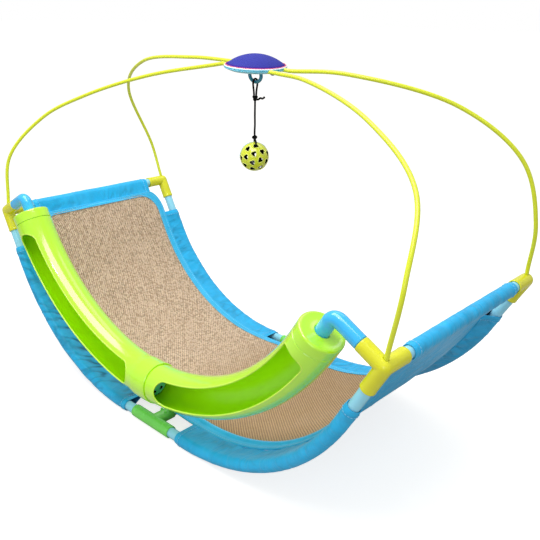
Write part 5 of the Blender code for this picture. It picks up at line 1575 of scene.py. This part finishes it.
@dataclass
class RattleBall(SubAssembly):
    """Hollow ball of two halves with rounded three-sided holes, and its bell."""

    wall: float = 0.0016
    hole: float = 0.0034
    blue_share: float = 0.8
    hole_steps: int = 24
    corners: float = 0.16
    seam_clearance: float = 0.21
    rim_offset: float = 0.0006
    rim_radius: float = 0.0005
    bell_radius: float = 0.0058
    bell_wall: float = 0.0006
    bell_gap: float = 0.0006
    rings: tuple[tuple[float, float, int], ...] = ((0.0, 0.0, 1), (36.0, 0.5, 6), (68.0, 0.25, 10), (100.0, 0.0, 12))
    middle: tuple[float, float, float] = (-0.146, 0.358, 0.923)

    def directions(self, blue: bool) -> list[Vector]:
        """Directions of a half's holes in the ball's frame, in rings about its middle hole, clear of the seam."""
        found, place = [], frame_along(Vector(), self.middle).to_3x3()
        for tilt, shift, count in self.rings:
            for k in range(count):
                turn = 2 * pi * (k + shift + 0.5) / count + radians(15.0 if blue else 20.0)
                flat, high = sin(radians(tilt)), cos(radians(tilt))
                hole = place @ Vector((flat * cos(turn), flat * sin(turn), high))
                if hole.z > self.seam_clearance:
                    found.append(Vector((hole.x, hole.y, -hole.z if blue else hole.z)))
        return found

    def outline(self, size: float) -> list[Pair]:
        """Rounded triangle, flat."""
        points = []
        for turn in evenly(0.0, 2 * pi, self.hole_steps)[:-1]:
            reach = size * (1.0 + self.corners * cos(3 * turn))
            points.append((reach * cos(turn), reach * sin(turn)))
        return points

    def half(self, name: str, matrix: Matrix, flip: bool, finish: Material) -> Object:
        """One half shell with its holes and their raised rims."""
        outer, inner = self.plan.ball_radius, self.plan.ball_radius - self.wall
        turn = Matrix.Rotation(pi, 4, "X") if flip else Matrix.Identity(4)
        steps = evenly(0.0, pi / 2, 30)
        profile = [(outer * sin(a), max(outer * cos(a), 0.0005)) for a in steps]
        profile += [(outer - 0.0004, self.plan.gap / 2), (inner, self.plan.gap / 2)]
        profile += [(inner * sin(a), max(inner * cos(a), self.plan.gap / 2)) for a in reversed(steps[:-1])]
        # The shell's inner faces take the near-black copy, painted shade.
        shell = turned("shell", profile, 72, matrix @ turn, [finish, self.finish.ball_inside_shade],
                       finish_of=lambda i, j: int(i > 31))
        cutters, rims, size = [], [], self.hole * (self.blue_share if flip else 1.0)
        for k, direction in enumerate(self.directions(flip)):
            place = frame_along(matrix.translation, matrix.to_3x3() @ direction)
            spin = Matrix.Rotation(0.7 * k, 4, "Z")
            cutter = slab("hole", self.outline(size), outer * 0.6, outer * 1.2, place @ spin,
                          [finish, self.finish.ball_inside_shade])
            # The holes' walls take the near-black copy too, painted shade.
            cutter.data.polygons.foreach_set("material_index", [1] * len(cutter.data.polygons))
            cutters.append(cutter)
            flat = self.outline(size + self.rim_offset)
            rims.append([place @ spin @ Vector((x, y, sqrt((outer - 0.0001) ** 2 - x * x - y * y))) for x, y in flat])
        carve(shell, cutters)
        # The green half's rims take the paler copy, a painted highlight.
        raised = self.repeats.beads("rims", rims, finish if flip else self.finish.ball_rim_highlight, self.rim_radius, sides=8)
        return join(name, [shell, raised])

    def bell(self, name: str, centre: Vector) -> Object:
        """Round bell with a waist bead and a slot below, lying in the bottom of the ball."""
        radius, inner = self.bell_radius, self.bell_radius - self.bell_wall
        sunk = self.plan.ball_radius - self.wall - radius - self.bell_gap
        place = Matrix.Translation(centre - Vector((0.0, 0.0, sunk)))
        outside = [(radius * sin(a) + (0.0003 if abs(a - pi / 2) < 0.08 else 0.0), radius * cos(a))
                   for a in evenly(0.0, pi, 24)]
        inside = [(inner * sin(a), inner * cos(a)) for a in reversed(evenly(0.0, pi, 24))]
        shell = join(name, [turned("out", outside, 32, place, [self.finish.bell]),
                            turned("in", inside, 32, place, [self.finish.bell])])
        long, wide = 0.0062, 0.0007
        slot = [(-long, -wide), (long, -wide), (long, wide), (-long, wide)]
        return carve(shell, [slab("slot", slot, -0.0075, -0.0022, place, [self.finish.bell])])

    def build(self, names: tuple[str, str, str], matrix: Matrix, body: Body) -> None:
        """Build both halves and the bell.

        Args:
            names: CAD nodes of the green half, the blue half and the bell.
            matrix: the ball's placement, with its axis along Z.
            body: the body that it moves with.
        """
        green = self.half(names[0] + "_pierced", matrix, False, self.finish.ball_green)
        blue = self.half(names[1] + "_pierced", matrix, True, self.finish.ball_blue)
        self.own(green, Slot.BALL_GREEN, names[0], body=body)
        self.own(blue, Slot.BALL_BLUE, names[1], body=body)
        self.own(self.bell(names[2] + "_slotted", matrix.translation), Slot.BELL, names[2], body=body)


@dataclass
class HangingToy(SubAssembly):
    """The ball on its cord: a loop on the eye, a strand and the loop through the ball."""

    cord_radius: float = 0.0012
    slack: float = 0.0005
    path_steps: int = 34
    knot_steps: int = 72

    TAIL = ((0.0004, 0.0012, -0.0010), (0.0006, 0.0052, -0.0026), (0.0010, 0.0092, -0.0008),
            (0.0013, 0.0135, -0.0018), (0.0016, 0.0170, -0.0002))
    STRAND = ((0.0030, 0.0, 0.0), (0.012, 0.0002, -0.0002), (0.024, -0.0002, 0.0002), (0.036, 0.0001, 0.0002),
              (0.046, -0.0001, 0.0))

    def knot(self, name: str, centre: Vector, size: float, turn: float) -> Object:
        """Tight overhand knot."""
        points = []
        for t in evenly(0.0, 2 * pi, self.knot_steps)[:-1]:
            flat = Vector((sin(t) + 2 * sin(2 * t), -sin(3 * t) * 1.1, cos(t) - 2 * cos(2 * t)))
            points.append(centre + Matrix.Rotation(turn, 3, "Z") @ (flat * size / 3))
        route = Route(points, closed=True)
        profile = [(s, self.cord_radius * 0.98) for s in route.lengths[:-1]]
        return swept(name, route, profile, 12, [self.finish.cord], hollow=True)

    def line(self, name: str, points: Sequence[Vector], steps: int, bare: bool = False) -> tuple[Object, Route]:
        """Cord through points, with rounded ends or a frayed bare one."""
        route, radius = Route(smooth_curve(points, steps)), self.cord_radius * 1.12
        profile = [(0.0, 0.0), (0.0, radius * 0.7), (radius * 0.3, radius)]
        profile += [(s, radius) for s in route.lengths if radius < s < route.length - radius]
        end = radius * (1.25 if bare else 0.7)
        profile += [(route.length - radius * 0.3, radius), (route.length, end), (route.length, 0.0)]
        return swept(name, route, profile, 14, [self.finish.cord]), route

    def declare(self, piece: Object, route: Route, far_end: str, with_pieces: Sequence[Object], lay: str) -> None:
        """Sample the line that a cord follows and sum its length; nothing is kept."""
        path = [route.at(s)[0] for s in evenly(0.0, route.length, self.path_steps)]
        length = sum((b - a).length for a, b in zip(path, path[1:]))
        tuple(path[0])
        [tuple(p) for p in path]

    def build(self, ball: RattleBall) -> None:
        """Build the cords, their knots and the ball."""
        plan, down = self.plan, Vector((0.0, 0.0, -1.0))
        hang = plan.eye_bottom()
        upper = hang + down * plan.loop_length
        lower = upper + down * plan.strand_length
        centre = lower + down * plan.toy_drop

        def hung(y: float, z: float, x: float = 0.0) -> Vector:
            return hang + Vector((x, y, z))

        around = plan.eye_wire + self.cord_radius + self.slack
        over = [hung(around * cos(a), around * sin(a)) for a in evenly(0.0, pi, 6)]
        rise = [hung(0.0010, -plan.loop_length, 0.0008), hung(0.0012, -0.0172, 0.0009),
                hung(0.0019, -0.0108, 0.0008), hung(around, -0.0040)]
        fall = [hung(-around, -0.0040), hung(-0.0021, -0.0112, -0.0008), hung(-0.0013, -0.0174, -0.0009),
                hung(-0.0010, -plan.loop_length, -0.0008)]
        loop, loop_route = self.line("toy_loop_cord", rise + over + fall, 6)
        upper_knot = self.knot("upper_knot", upper, 0.0033, 0.4)
        tail, _ = self.line("knot_tail", [upper + Vector(p) for p in self.TAIL], 6, bare=True)
        self.own(loop, Slot.CORD, "cord_loop", body=Body.TOY_LOOP)
        for piece in (upper_knot, tail):
            self.own(piece, Slot.CORD, body=Body.TOY_LOOP)
        self.declare(loop, loop_route, "knot", [upper_knot, tail], "hanging")
        strand_points = [upper + down * d + Vector((x, y, 0.0))
                         for d, x, y in (*self.STRAND, (plan.strand_length, 0.0, 0.0))]
        strand, strand_route = self.line("toy_strand_cord", strand_points, 6)
        lower_knot = self.knot("lower_knot", lower, 0.0030, 1.3)
        matrix = frame_along(centre, Vector((0.78, -0.62, 0.0)), across=(0.0, 0.0, 1.0))
        front, back = (max((matrix.to_3x3() @ d for d in ball.directions(blue)), key=lambda d: d.z)
                       for blue in (False, True))
        radius, rise_by = plan.ball_radius, Vector((0.0, 0.0, 0.0010))
        through = [lower + (front - back) * 0.0006, centre + front * (radius + 0.0032) + rise_by,
                   centre + front * (radius - 0.0006), centre + front * (radius - 0.0052),
                   centre + Vector((0.0, 0.0, 0.0128)), centre + back * (radius - 0.0052),
                   centre + back * (radius - 0.0006), centre + back * (radius + 0.0032) + rise_by,
                   lower + (back - front) * 0.0006]
        sling, sling_route = self.line("toy_ball_cord", through, 8)
        self.own(strand, Slot.CORD, "cord_strand", body=Body.TOY)
        for piece in (lower_knot, sling):
            self.own(piece, Slot.CORD, body=Body.TOY)
        self.declare(strand, strand_route, "knot", [lower_knot], "hanging")
        self.declare(sling, sling_route, "knot", [], "hanging")
        ball.build(("toy_ball_front", "toy_ball_back", "toy_bell"), matrix, Body.TOY)


@dataclass
class RollingBall(SubAssembly):
    """The ball that rests in the track's lowest place."""

    def build(self, ball: RattleBall) -> None:
        """Build the ball in the track."""
        plan = self.plan
        down = plan.neck_radius - plan.track_wall - plan.ball_radius - plan.ball_seat
        centre = plan.track_point(0.0, off_axis=down)
        matrix = frame_along(centre, Vector((-0.92, -0.38, 0.0)), across=(0.0, 0.0, 1.0))
        ball.build(("track_ball_left", "track_ball_right", "track_bell"), matrix, Body.TRACK_BALL)


# ---------------------------------------------------------------- cloth


def wander(x: float, y: float, seed: float) -> float:
    """Smooth noise from -1 to 1."""
    return noise.noise(Vector((x, y, seed * 7.31)))


def folds(along: float, across: float, lean: float, width: float, length: float, seed: float) -> float:
    """Long narrow fold crests, from 0 to 1.

    Args:
        along: place along the cloth, in metres.
        across: place across it, in metres.
        lean: angle between the folds and the cloth's length.
        width: spacing of the folds.
        length: how long a fold runs.
        seed: number that sets the pattern.

    Returns:
        Height of the crest there.
    """
    run = along * cos(lean) + across * sin(lean)
    step = -along * sin(lean) + across * cos(lean)
    value = wander(run / length, step / width, seed) + 0.35 * wander(run / length * 2.1, step / width * 1.9, seed + 5)
    return exp(-(value / 0.17) ** 2)


def ease(value: float) -> float:
    """Smooth step of a value from 0 to 1."""
    value = min(max(value, 0.0), 1.0)
    return value * value * (3.0 - 2.0 * value)


@dataclass
class SlingCloth(SubAssembly):
    """Cloth sling: sleeves round the tubes, panel, mat, binding, piping and stitches."""

    cloth: float = 0.0008
    step: float = 0.0017
    sleeve_start: float = 0.060
    sleeve_stop: float = 0.067
    end_inset: float = 0.045
    hem_width: float = 0.0078
    sleeve_radius: float = 0.00895
    seam_round: float = 0.0013
    round_steps: int = 26
    long_steps: int = 300
    wide_steps: int = 90
    sling_corner: Pair = (0.040, 0.024)
    mat_corner: Pair = (0.040, 0.034)
    sling_grid: tuple[int, int] = (360, 96)
    mat_grid: tuple[int, int] = (300, 80)
    lap: float = 0.0030
    band_columns: int = 12
    band_width: float = 0.012
    band_seams: Pair = (0.10, 0.86)
    piping: float = 0.0015
    extras: list[Object] = field(default_factory=list)

    def pocket(self, depth: float) -> list[tuple[float, float, float, float, float]]:
        """Outline of a sleeve from its seam over the top, round the tube and back beneath.

        Args:
            depth: from the tube's axis to the seam.

        Returns:
            Inward and upward place, inward and upward part of the normal, and distance from the seam.
        """
        outer, edge = self.sleeve_radius, self.seam_round
        low = outer - 2 * edge
        reach = hypot(depth - edge, low + edge)
        last = 2 * pi + atan2(low + edge, depth - edge) - acos((outer - edge) / reach)
        raw = [((depth - edge) + edge * cos(a), outer - edge + edge * sin(a)) for a in evenly(-pi / 3, pi / 2, 4)]
        top = max(int((depth - edge) / self.step), 4)
        raw += [((depth - edge) * (1 - i / top), outer) for i in range(1, top)]
        raw += [(outer * cos(a), outer * sin(a)) for a in evenly(pi / 2, last, self.round_steps)]
        tangent, seam = raw[-1], raw[0]
        back = max(int(dist(tangent, seam) / self.step), 4)
        raw += between(tangent, seam, back)
        out, run = [], 0.0
        for i, (a, b) in enumerate(raw):
            before, after = raw[i - 1], raw[(i + 1) % len(raw)]
            way = (after[0] - before[0], after[1] - before[1])
            size = hypot(*way)
            run += dist(raw[i - 1], (a, b)) if i else 0.0
            out.append((a, b, way[1] / size, -way[0] / size, run))
        return out

    def sleeve(self, node: str, length: float, depth: float, seed: float, gather: float, crinkle: float,
               line: Callable[[float], tuple[Vector, Vector, Vector]]) -> None:
        """Loose sleeve with puckers by its seam, tension folds with painted shade in them, and hemmed mouths.

        Args:
            node: CAD node that it replaces.
            length: its length along the tube.
            depth: from the tube's axis to the seam.
            seed: number that sets the wrinkles.
            gather: height of the wrinkles that run round the tube.
            crinkle: strength of the slanting creases.
            line: place, inward and upward direction at a distance along it.
        """
        section = self.pocket(depth)
        around = section[-1][4] + dist(section[-1][:2], section[0][:2])
        count = int(length / self.step)
        rows, marks, shades = [], [], []
        for i in range(count + 1):
            s = length * i / count
            place, inward, up = line(s)
            mouth = min(s, length - s)
            row = []
            for a, b, across_a, across_b, run in section:
                seam = min(run, around - run)
                flat = ease((a - 0.004) / 0.010)
                below = 1.0 if run > around * 0.5 else 0.0
                pucker = 0.0006 * exp(-(seam / 0.0070) ** 2) * sin(s / 0.0050 + 3.0 * wander(s / 0.04, 0.0, seed))
                lean = 0.75 + 0.8 * wander(s / 0.12, below, seed + 9)
                bundle = ease((wander(s / 0.085, run / 0.06 + below, seed + 3) + 0.18) / 0.30)
                crest = folds(s, run, lean, 0.014, 0.042, seed + below) * bundle
                cross = folds(s, run, -0.9, 0.026, 0.045, seed + 20 + below)
                ringed = ease((wander(s / 0.05, 0.3, seed + 33) + 0.3) / 0.4)
                ring = folds(s, run, 1.36, 0.018, 0.045, seed + 31) * ringed
                billow = wander(s / 0.080, run / 0.05, seed + 13) + 0.4 * wander(s / 0.030, run / 0.026, seed + 17)
                fold = min(crinkle * (crest + 0.5 * cross * (1.0 - bundle)), 1.0) * (0.45 + 0.55 * flat)
                push = flat * (0.0014 * billow + pucker - 0.0016 * fold) + 0.4 * gather * ring * (0.6 + 0.4 * flat)
                push += (1.0 - flat) * (0.0005 + 0.0008 * max(billow, 0.0) - 0.0011 * fold)
                hem = 0.0004 * (1.0 - ease((mouth - 0.0085) / 0.0012)) - 0.0004 * (1.0 - ease(mouth / 0.005))
                push = push * (0.15 + 0.85 * ease(mouth / 0.014)) + hem
                # Painted shade: how dark the cloth is painted in its folds and rings, stored as the fold attribute.
                shades.append(min(fold * ease(mouth / 0.012) + 0.16 * gather / 0.0017 * ring, 1.0))
                room = 0.35 * max(min(b + 0.009, 0.017), 0.002) * flat
                push = min(max(push, -0.0003 - min(room, 0.0016) * flat), 0.0032)
                rest = ease((seam - 0.0005) / 0.003)
                push *= 0.35 + 0.65 * rest
                point = place + inward * (a + across_a * push) + up * (b + across_b * push)
                point.z = max(point.z, 0.0006)
                row.append(point)
            rows.append(row)
            marks.append(s)
        runs = [p[4] for p in section] + [around]
        # The sleeve's inside takes the darker copy of the cloth, painted shade.
        sleeve = skin(node + "_cloth", rows, [self.finish.cloth, self.finish.cloth_inside_shade], along_marks=marks,
                      across_marks=runs, angle=CLOTH_ANGLE)
        sleeve.data.attributes.new("fold", "FLOAT", "POINT").data.foreach_set("value", shades)
        thicken(sleeve, self.cloth, -1.0, 1)
        self.own(sleeve, Slot.FABRIC, node)
        rings = []
        hem_row = round(self.hem_width / self.step)
        for i in (hem_row, count - hem_row):
            centre = sum(rows[i], Vector()) / len(rows[i])
            rings.append([p + (p - centre).normalized() * 0.0003 for p in rows[i]])
        stitches = self.repeats.sew(node + "_cloth_hems", rings, self.finish.thread, closed=True)
        self.extras += [sleeve, self.own(stitches, Slot.FABRIC)]

    def sleeves(self) -> None:
        """Build the four side sleeves and the two end sleeves."""
        plan = self.plan
        start, end = self.sleeve_start, plan.half_length - self.sleeve_stop
        for side in (-1.0, 1.0):
            for front in (True, False):
                inward, y = Vector((0.0, 1.0 if front else -1.0, 0.0)), plan.side_y(front)

                def side_line(s: float) -> tuple[Vector, Vector, Vector]:
                    place, _, normal = plan.rail_point(side * (start + s))
                    return place + Vector((0.0, y, 0.0)), inward, normal

                self.sleeve(f"{front_or_back(front)}_sleeve_{left_or_right(side)}", end - start, plan.side_depth,
                            1.0 + 2 * side + 5 * front, 0.0010 if front else 0.0020,
                            (1.3 if side < 0 else 0.30) if front else 0.5, side_line)
            place, direction, normal = plan.rail_point(side * plan.half_length)
            first, length = plan.side_y(True) + self.end_inset, plan.rail_spacing - 2 * self.end_inset

            def end_line(s: float) -> tuple[Vector, Vector, Vector]:
                return Vector((place.x, first + s, place.z)), direction * -side, normal

            self.sleeve(f"{left_or_right(side)}_end_sleeve", length, plan.end_depth, 30.0 + side, 0.0013, 0.35,
                        end_line)

    def edge_width(self, distance: float, half: Pair, corner: Pair) -> float:
        """Half width of a sheet with rounded corners, at a distance from its middle."""
        past = max(abs(distance) - (half[0] - corner[0]), 0.0) / corner[0]
        return half[1] - corner[1] * (1.0 - sqrt(max(1.0 - past ** 2, 0.0)))

    def loop(self, half: Pair, corner: Pair) -> list[Pair]:
        """Rounded outline of a sheet as distances along and across, with the same count for every size."""
        points = []
        for side_s, side_y in ((1.0, -1.0), (1.0, 1.0), (-1.0, 1.0), (-1.0, -1.0)):
            turn = [(half[0] - corner[0] + corner[0] * cos(t), half[1] - corner[1] + corner[1] * sin(t))
                    for t in evenly(0.0, pi / 2, 24)]
            if side_s * side_y < 0:
                turn.reverse()
            turn = [(side_s * s, side_y * y) for s, y in turn]
            if points:
                lengthwise = abs(points[-1][0] - turn[0][0]) > 0.1
                points += between(points[-1], turn[0], self.long_steps if lengthwise else self.wide_steps)
            points += turn
        return points + between(points[-1], points[0], self.long_steps)

    def panel(self, name: str, half: Pair, corner: Pair, rows: int, columns: int,
              height: Callable[[float, float], float], finish: Material, thickness: float
              ) -> Object:
        """Curved sheet with rounded corners and a thickness.

        Args:
            name: object name.
            half: half length and half width.
            corner: length and width of a rounded corner.
            rows: rows along the bed.
            columns: columns across it.
            height: height over the sling's middle surface at a distance and a width.
            finish: its material.
            thickness: its thickness.

        Returns:
            The new object.
        """
        grid, marks = [], []
        for i in range(rows + 1):
            share = 2 * i / rows - 1
            s = half[0] * copysign(1.0 - (1.0 - abs(share)) ** 1.06, share)
            width = self.edge_width(s, half, corner)
            grid.append([self.plan.sheet_point(s, y, height(s, y))
                         for y in (width * (2 * j / columns - 1) for j in range(columns + 1))])
            marks.append(s)
        across = [half[1] * (2 * j / columns - 1) for j in range(columns + 1)]
        sheet = skin(name, grid, [finish], around=False, along_marks=marks, across_marks=across, angle=CLOTH_ANGLE)
        return thicken(sheet, thickness)

    def sling_height(self, s: float, y: float) -> float:
        """Slack and tension folds of the panel, which only hang below its even surface."""
        half, soft = self.plan.sling_half, 0.02
        corner_s, corner_y = half[0] - abs(s), half[1] - abs(y)
        reach, pull = hypot(corner_s, corner_y), atan2(corner_y + soft, corner_s + soft)
        ray = folds(reach, pull * 0.12, 0.0, 0.016, 0.09, 41 + (s > 0) * 3 + (y > 0))
        near = exp(-reach / 0.11)
        across = folds(s, y, 1.35, 0.020, 0.11, 47.0) * ease((wander(s / 0.10, y / 0.07, 49.0) + 0.3) / 0.5)
        edge = ease(min(corner_s, corner_y) / 0.014)
        return -edge * (0.0014 * ray * near + 0.0007 * across + 0.0007 * (1 + wander(s / 0.05, y / 0.05, 43.0)))

    def mat_height(self, s: float, y: float) -> float:
        """Lie of the mat: its even height with a faint unevenness of the thick weave."""
        plan = self.plan
        base = plan.sling_thickness / 2 + plan.sheet_gap + plan.mat_thickness / 2
        return base + 0.0003 * (1.0 + wander(s / 0.07, y / 0.05, 61.0)) + 0.00012 * wander(s / 0.008, y / 0.02, 63.0)

    def binding(self) -> None:
        """Cloth band over the mat's edge, piping on the sling's seam and their stitches."""
        plan, lap, inset = self.plan, self.lap, 0.0006
        inner = self.loop(tuple(v - lap for v in plan.mat_half), tuple(v - lap for v in self.mat_corner))
        outer = self.loop(tuple(v - inset for v in plan.sling_half), self.sling_corner)
        mat_top = plan.sling_thickness / 2 + plan.sheet_gap + plan.mat_thickness + 0.0006
        columns, middle = self.band_columns, self.band_columns // 2
        rows, marks, run = [], [], 0.0
        sewn = {share: [] for share in self.band_seams}
        for i, (a, b) in enumerate(zip(inner, outer)):
            width = dist(a, b)
            ripple = wander(i * 0.33, 0.0, 71.0)

            def over(share: float) -> tuple[float, float, float]:
                s, y = a[0] + (b[0] - a[0]) * share, a[1] + (b[1] - a[1]) * share
                drop = ease((share * width - lap - 0.0004) / max(min(0.0030, width - lap - 0.0010), 0.0012))
                height = (mat_top + 0.0004) * (1 - drop) + 0.0012 * drop
                height += 0.00030 * ripple * sin(pi * share) + 0.0005 * sin(pi * share) * drop
                return s, y, height

            rows.append([plan.sheet_point(*over(j / columns)) for j in range(columns + 1)])
            for share, line in sewn.items():
                s, y, height = over(share)
                line.append(plan.sheet_point(s, y, height + 0.0005))
            if i:
                run += (rows[-1][middle] - rows[-2][middle]).length
            marks.append(run)
        marks.append(run + (rows[0][middle] - rows[-1][middle]).length)
        across = evenly(0.0, self.band_width, columns)
        band = skin("binding_band", rows, [self.finish.binding], around=False, along=True, along_marks=marks,
                    across_marks=across, angle=CLOTH_ANGLE)
        thicken(band, self.cloth)
        cord = [plan.sheet_point(s, y, inset) for s, y in self.loop(plan.sling_half, self.sling_corner)]
        piping = self.repeats.beads("edge_piping", [cord], self.finish.binding, self.piping, sides=14)
        stitches = self.repeats.sew("binding_stitches", list(sewn.values()), self.finish.thread, closed=True)
        for piece in (band, piping, stitches):
            self.extras.append(self.own(piece, Slot.FABRIC))

    def build(self) -> None:
        """Build all the cloth."""
        plan = self.plan
        self.sleeves()
        self.binding()
        sling = self.panel("sling_panel", plan.sling_half, self.sling_corner, *self.sling_grid, self.sling_height,
                           self.finish.cloth, plan.sling_thickness)
        mat = self.panel("sisal_mat", plan.mat_half, self.mat_corner, *self.mat_grid, self.mat_height, self.finish.mat,
                         plan.mat_thickness)
        self.own(sling, Slot.FABRIC, "sling")
        self.own(mat, Slot.MAT, "scratch_mat")
        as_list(self.extras)


# ---------------------------------------------------------------- studio


@dataclass(frozen=True)
class Studio:
    """Camera at the photograph's angle, pale floor, white world and soft lamps."""

    place: tuple[float, float, float] = (0.6984, -0.6673, 0.5793)
    azimuth: float = 42.5747
    elevation: float = 20.9911
    roll: float = 1.2505
    lens: float = 44.58
    ambient: float = 0.60
    gloss_level: float = 0.60
    floor_glow: float = 0.76
    floor_reach: float = 30.0

    WHITE = (1.0, 1.0, 1.0, 1.0)
    PAPER = (0.50, 0.48, 0.45, 1.0)

    def camera(self) -> None:
        """Set the scene's camera."""
        turn, lift, roll = (radians(v) for v in (self.azimuth, self.elevation, self.roll))
        back = Vector((sin(turn) * cos(lift), -cos(turn) * cos(lift), sin(lift)))
        right = (-back).cross(Vector((0.0, 0.0, 1.0))).normalized()
        up = right.cross(-back)
        tilted = right * cos(roll) + up * sin(roll)
        upright = up * cos(roll) - right * sin(roll)
        data = bpy.data.cameras.new("camera")
        data.lens, data.sensor_width, data.clip_start = self.lens, 36.0, 0.01
        camera = link("camera", data)
        camera.matrix_world = Matrix.Translation(self.place) @ Matrix((tilted, upright, back)).transposed().to_4x4()
        bpy.context.scene.camera = camera

    def floor(self) -> None:
        """Pale floor that keeps the bed's shadow."""
        material = bpy.data.materials.new("floor_white")
        material.use_nodes = True
        tree = material.node_tree
        tree.nodes.clear()
        seen = put(tree, "ShaderNodeLightPath").outputs["Is Camera Ray"]
        paper = put(tree, "ShaderNodeBsdfDiffuse", {"Color": self.PAPER})
        glow = maths(tree, "MULTIPLY", seen, self.floor_glow)
        lift = put(tree, "ShaderNodeEmission", {"Color": self.WHITE, "Strength": glow})
        both = put(tree, "ShaderNodeAddShader", {0: paper.outputs[0], 1: lift.outputs[0]})
        put(tree, "ShaderNodeOutputMaterial", {"Surface": both.outputs[0]})
        far = self.floor_reach
        corners = [(-far, -far, 0), (far, -far, 0), (far, far, 0), (-far, far, 0)]
        floor = link_mesh("floor", corners, [(0, 1, 2, 3)], [material])

    def world(self) -> None:
        """White surroundings to the camera and to gloss, softer as light."""
        world = bpy.data.worlds.new("surroundings")
        world.use_nodes = True
        bpy.context.scene.world = world
        tree = world.node_tree
        tree.nodes.clear()
        rays = put(tree, "ShaderNodeLightPath")
        seen = maths(tree, "MAXIMUM", rays.outputs["Is Camera Ray"], rays.outputs["Is Transmission Ray"])
        glossy = maths(tree, "MULTIPLY", rays.outputs["Is Glossy Ray"], self.gloss_level)
        level = maths(tree, "MAXIMUM", maths(tree, "MAXIMUM", seen, glossy), self.ambient)
        sky = put(tree, "ShaderNodeBackground", {"Color": self.WHITE, "Strength": level})
        put(tree, "ShaderNodeOutputWorld", {"Surface": sky.outputs[0]})

    def lamp(self, name: str, place: Sequence[float], aim: Sequence[float], size: Pair,
             power: float, turn: Optional[float] = None, mirrored: bool = True) -> None:
        """Soft rectangular lamp aimed at a point, or laid flat overhead and turned; gloss may leave it out."""
        data = bpy.data.lights.new(name, "AREA")
        data.shape, data.size, data.size_y, data.energy = "RECTANGLE", size[0], size[1], power
        lamp = link(name, data)
        lamp.matrix_world = frame_along(Vector(place), Vector(place) - Vector(aim), across=(0.0, 0.0, 1.0))
        if turn is not None:
            lamp.matrix_world = Matrix.Translation(place) @ Matrix.Rotation(turn, 4, "Z")
        lamp.visible_glossy = mirrored

    def build(self) -> None:
        """Build the camera, the floor, the world and the lamps."""
        self.camera()
        self.floor()
        self.world()
        self.lamp("long_strip", (-0.10, -0.36, 1.35), (0.0, 0.0, 0.0), (1.40, 0.70), 12.5, turn=-0.25)
        self.lamp("top_softbox", (-0.3, 0.9, 1.8), (0.0, 0.0, 0.1), (1.6, 0.7), 4.2)
        self.lamp("left_softbox", (-1.5, -1.1, 1.3), (-0.1, -0.1, 0.2), (0.7, 1.1), 4.0, mirrored=False)
        self.lamp("front_fill", (1.1, -1.6, 0.9), (0.0, 0.0, 0.15), (1.0, 0.8), 4.2)
        self.lamp("small_window", (0.3, -1.0, 1.7), (0.0, -0.1, 0.2), (0.12, 0.12), 1.4)
        settings = bpy.context.scene.view_settings
        settings.view_transform = "Standard"


def main() -> None:
    """Build the studio and every sub-assembly."""
    logging.basicConfig(level=logging.INFO, format="%(name)s: %(message)s")
    Studio().build()
    plan = BedPlan()
    shared = (plan, FinishSet(), Repeats())
    ball = RattleBall(*shared)
    HangingToy(*shared).build(ball)
    RollingBall(*shared).build(ball)
    for assembly in (TubeFrame, Fittings, BallTrack, RodArch, SlingCloth):
        assembly(*shared).build()


if __name__ == "__main__":
    main()
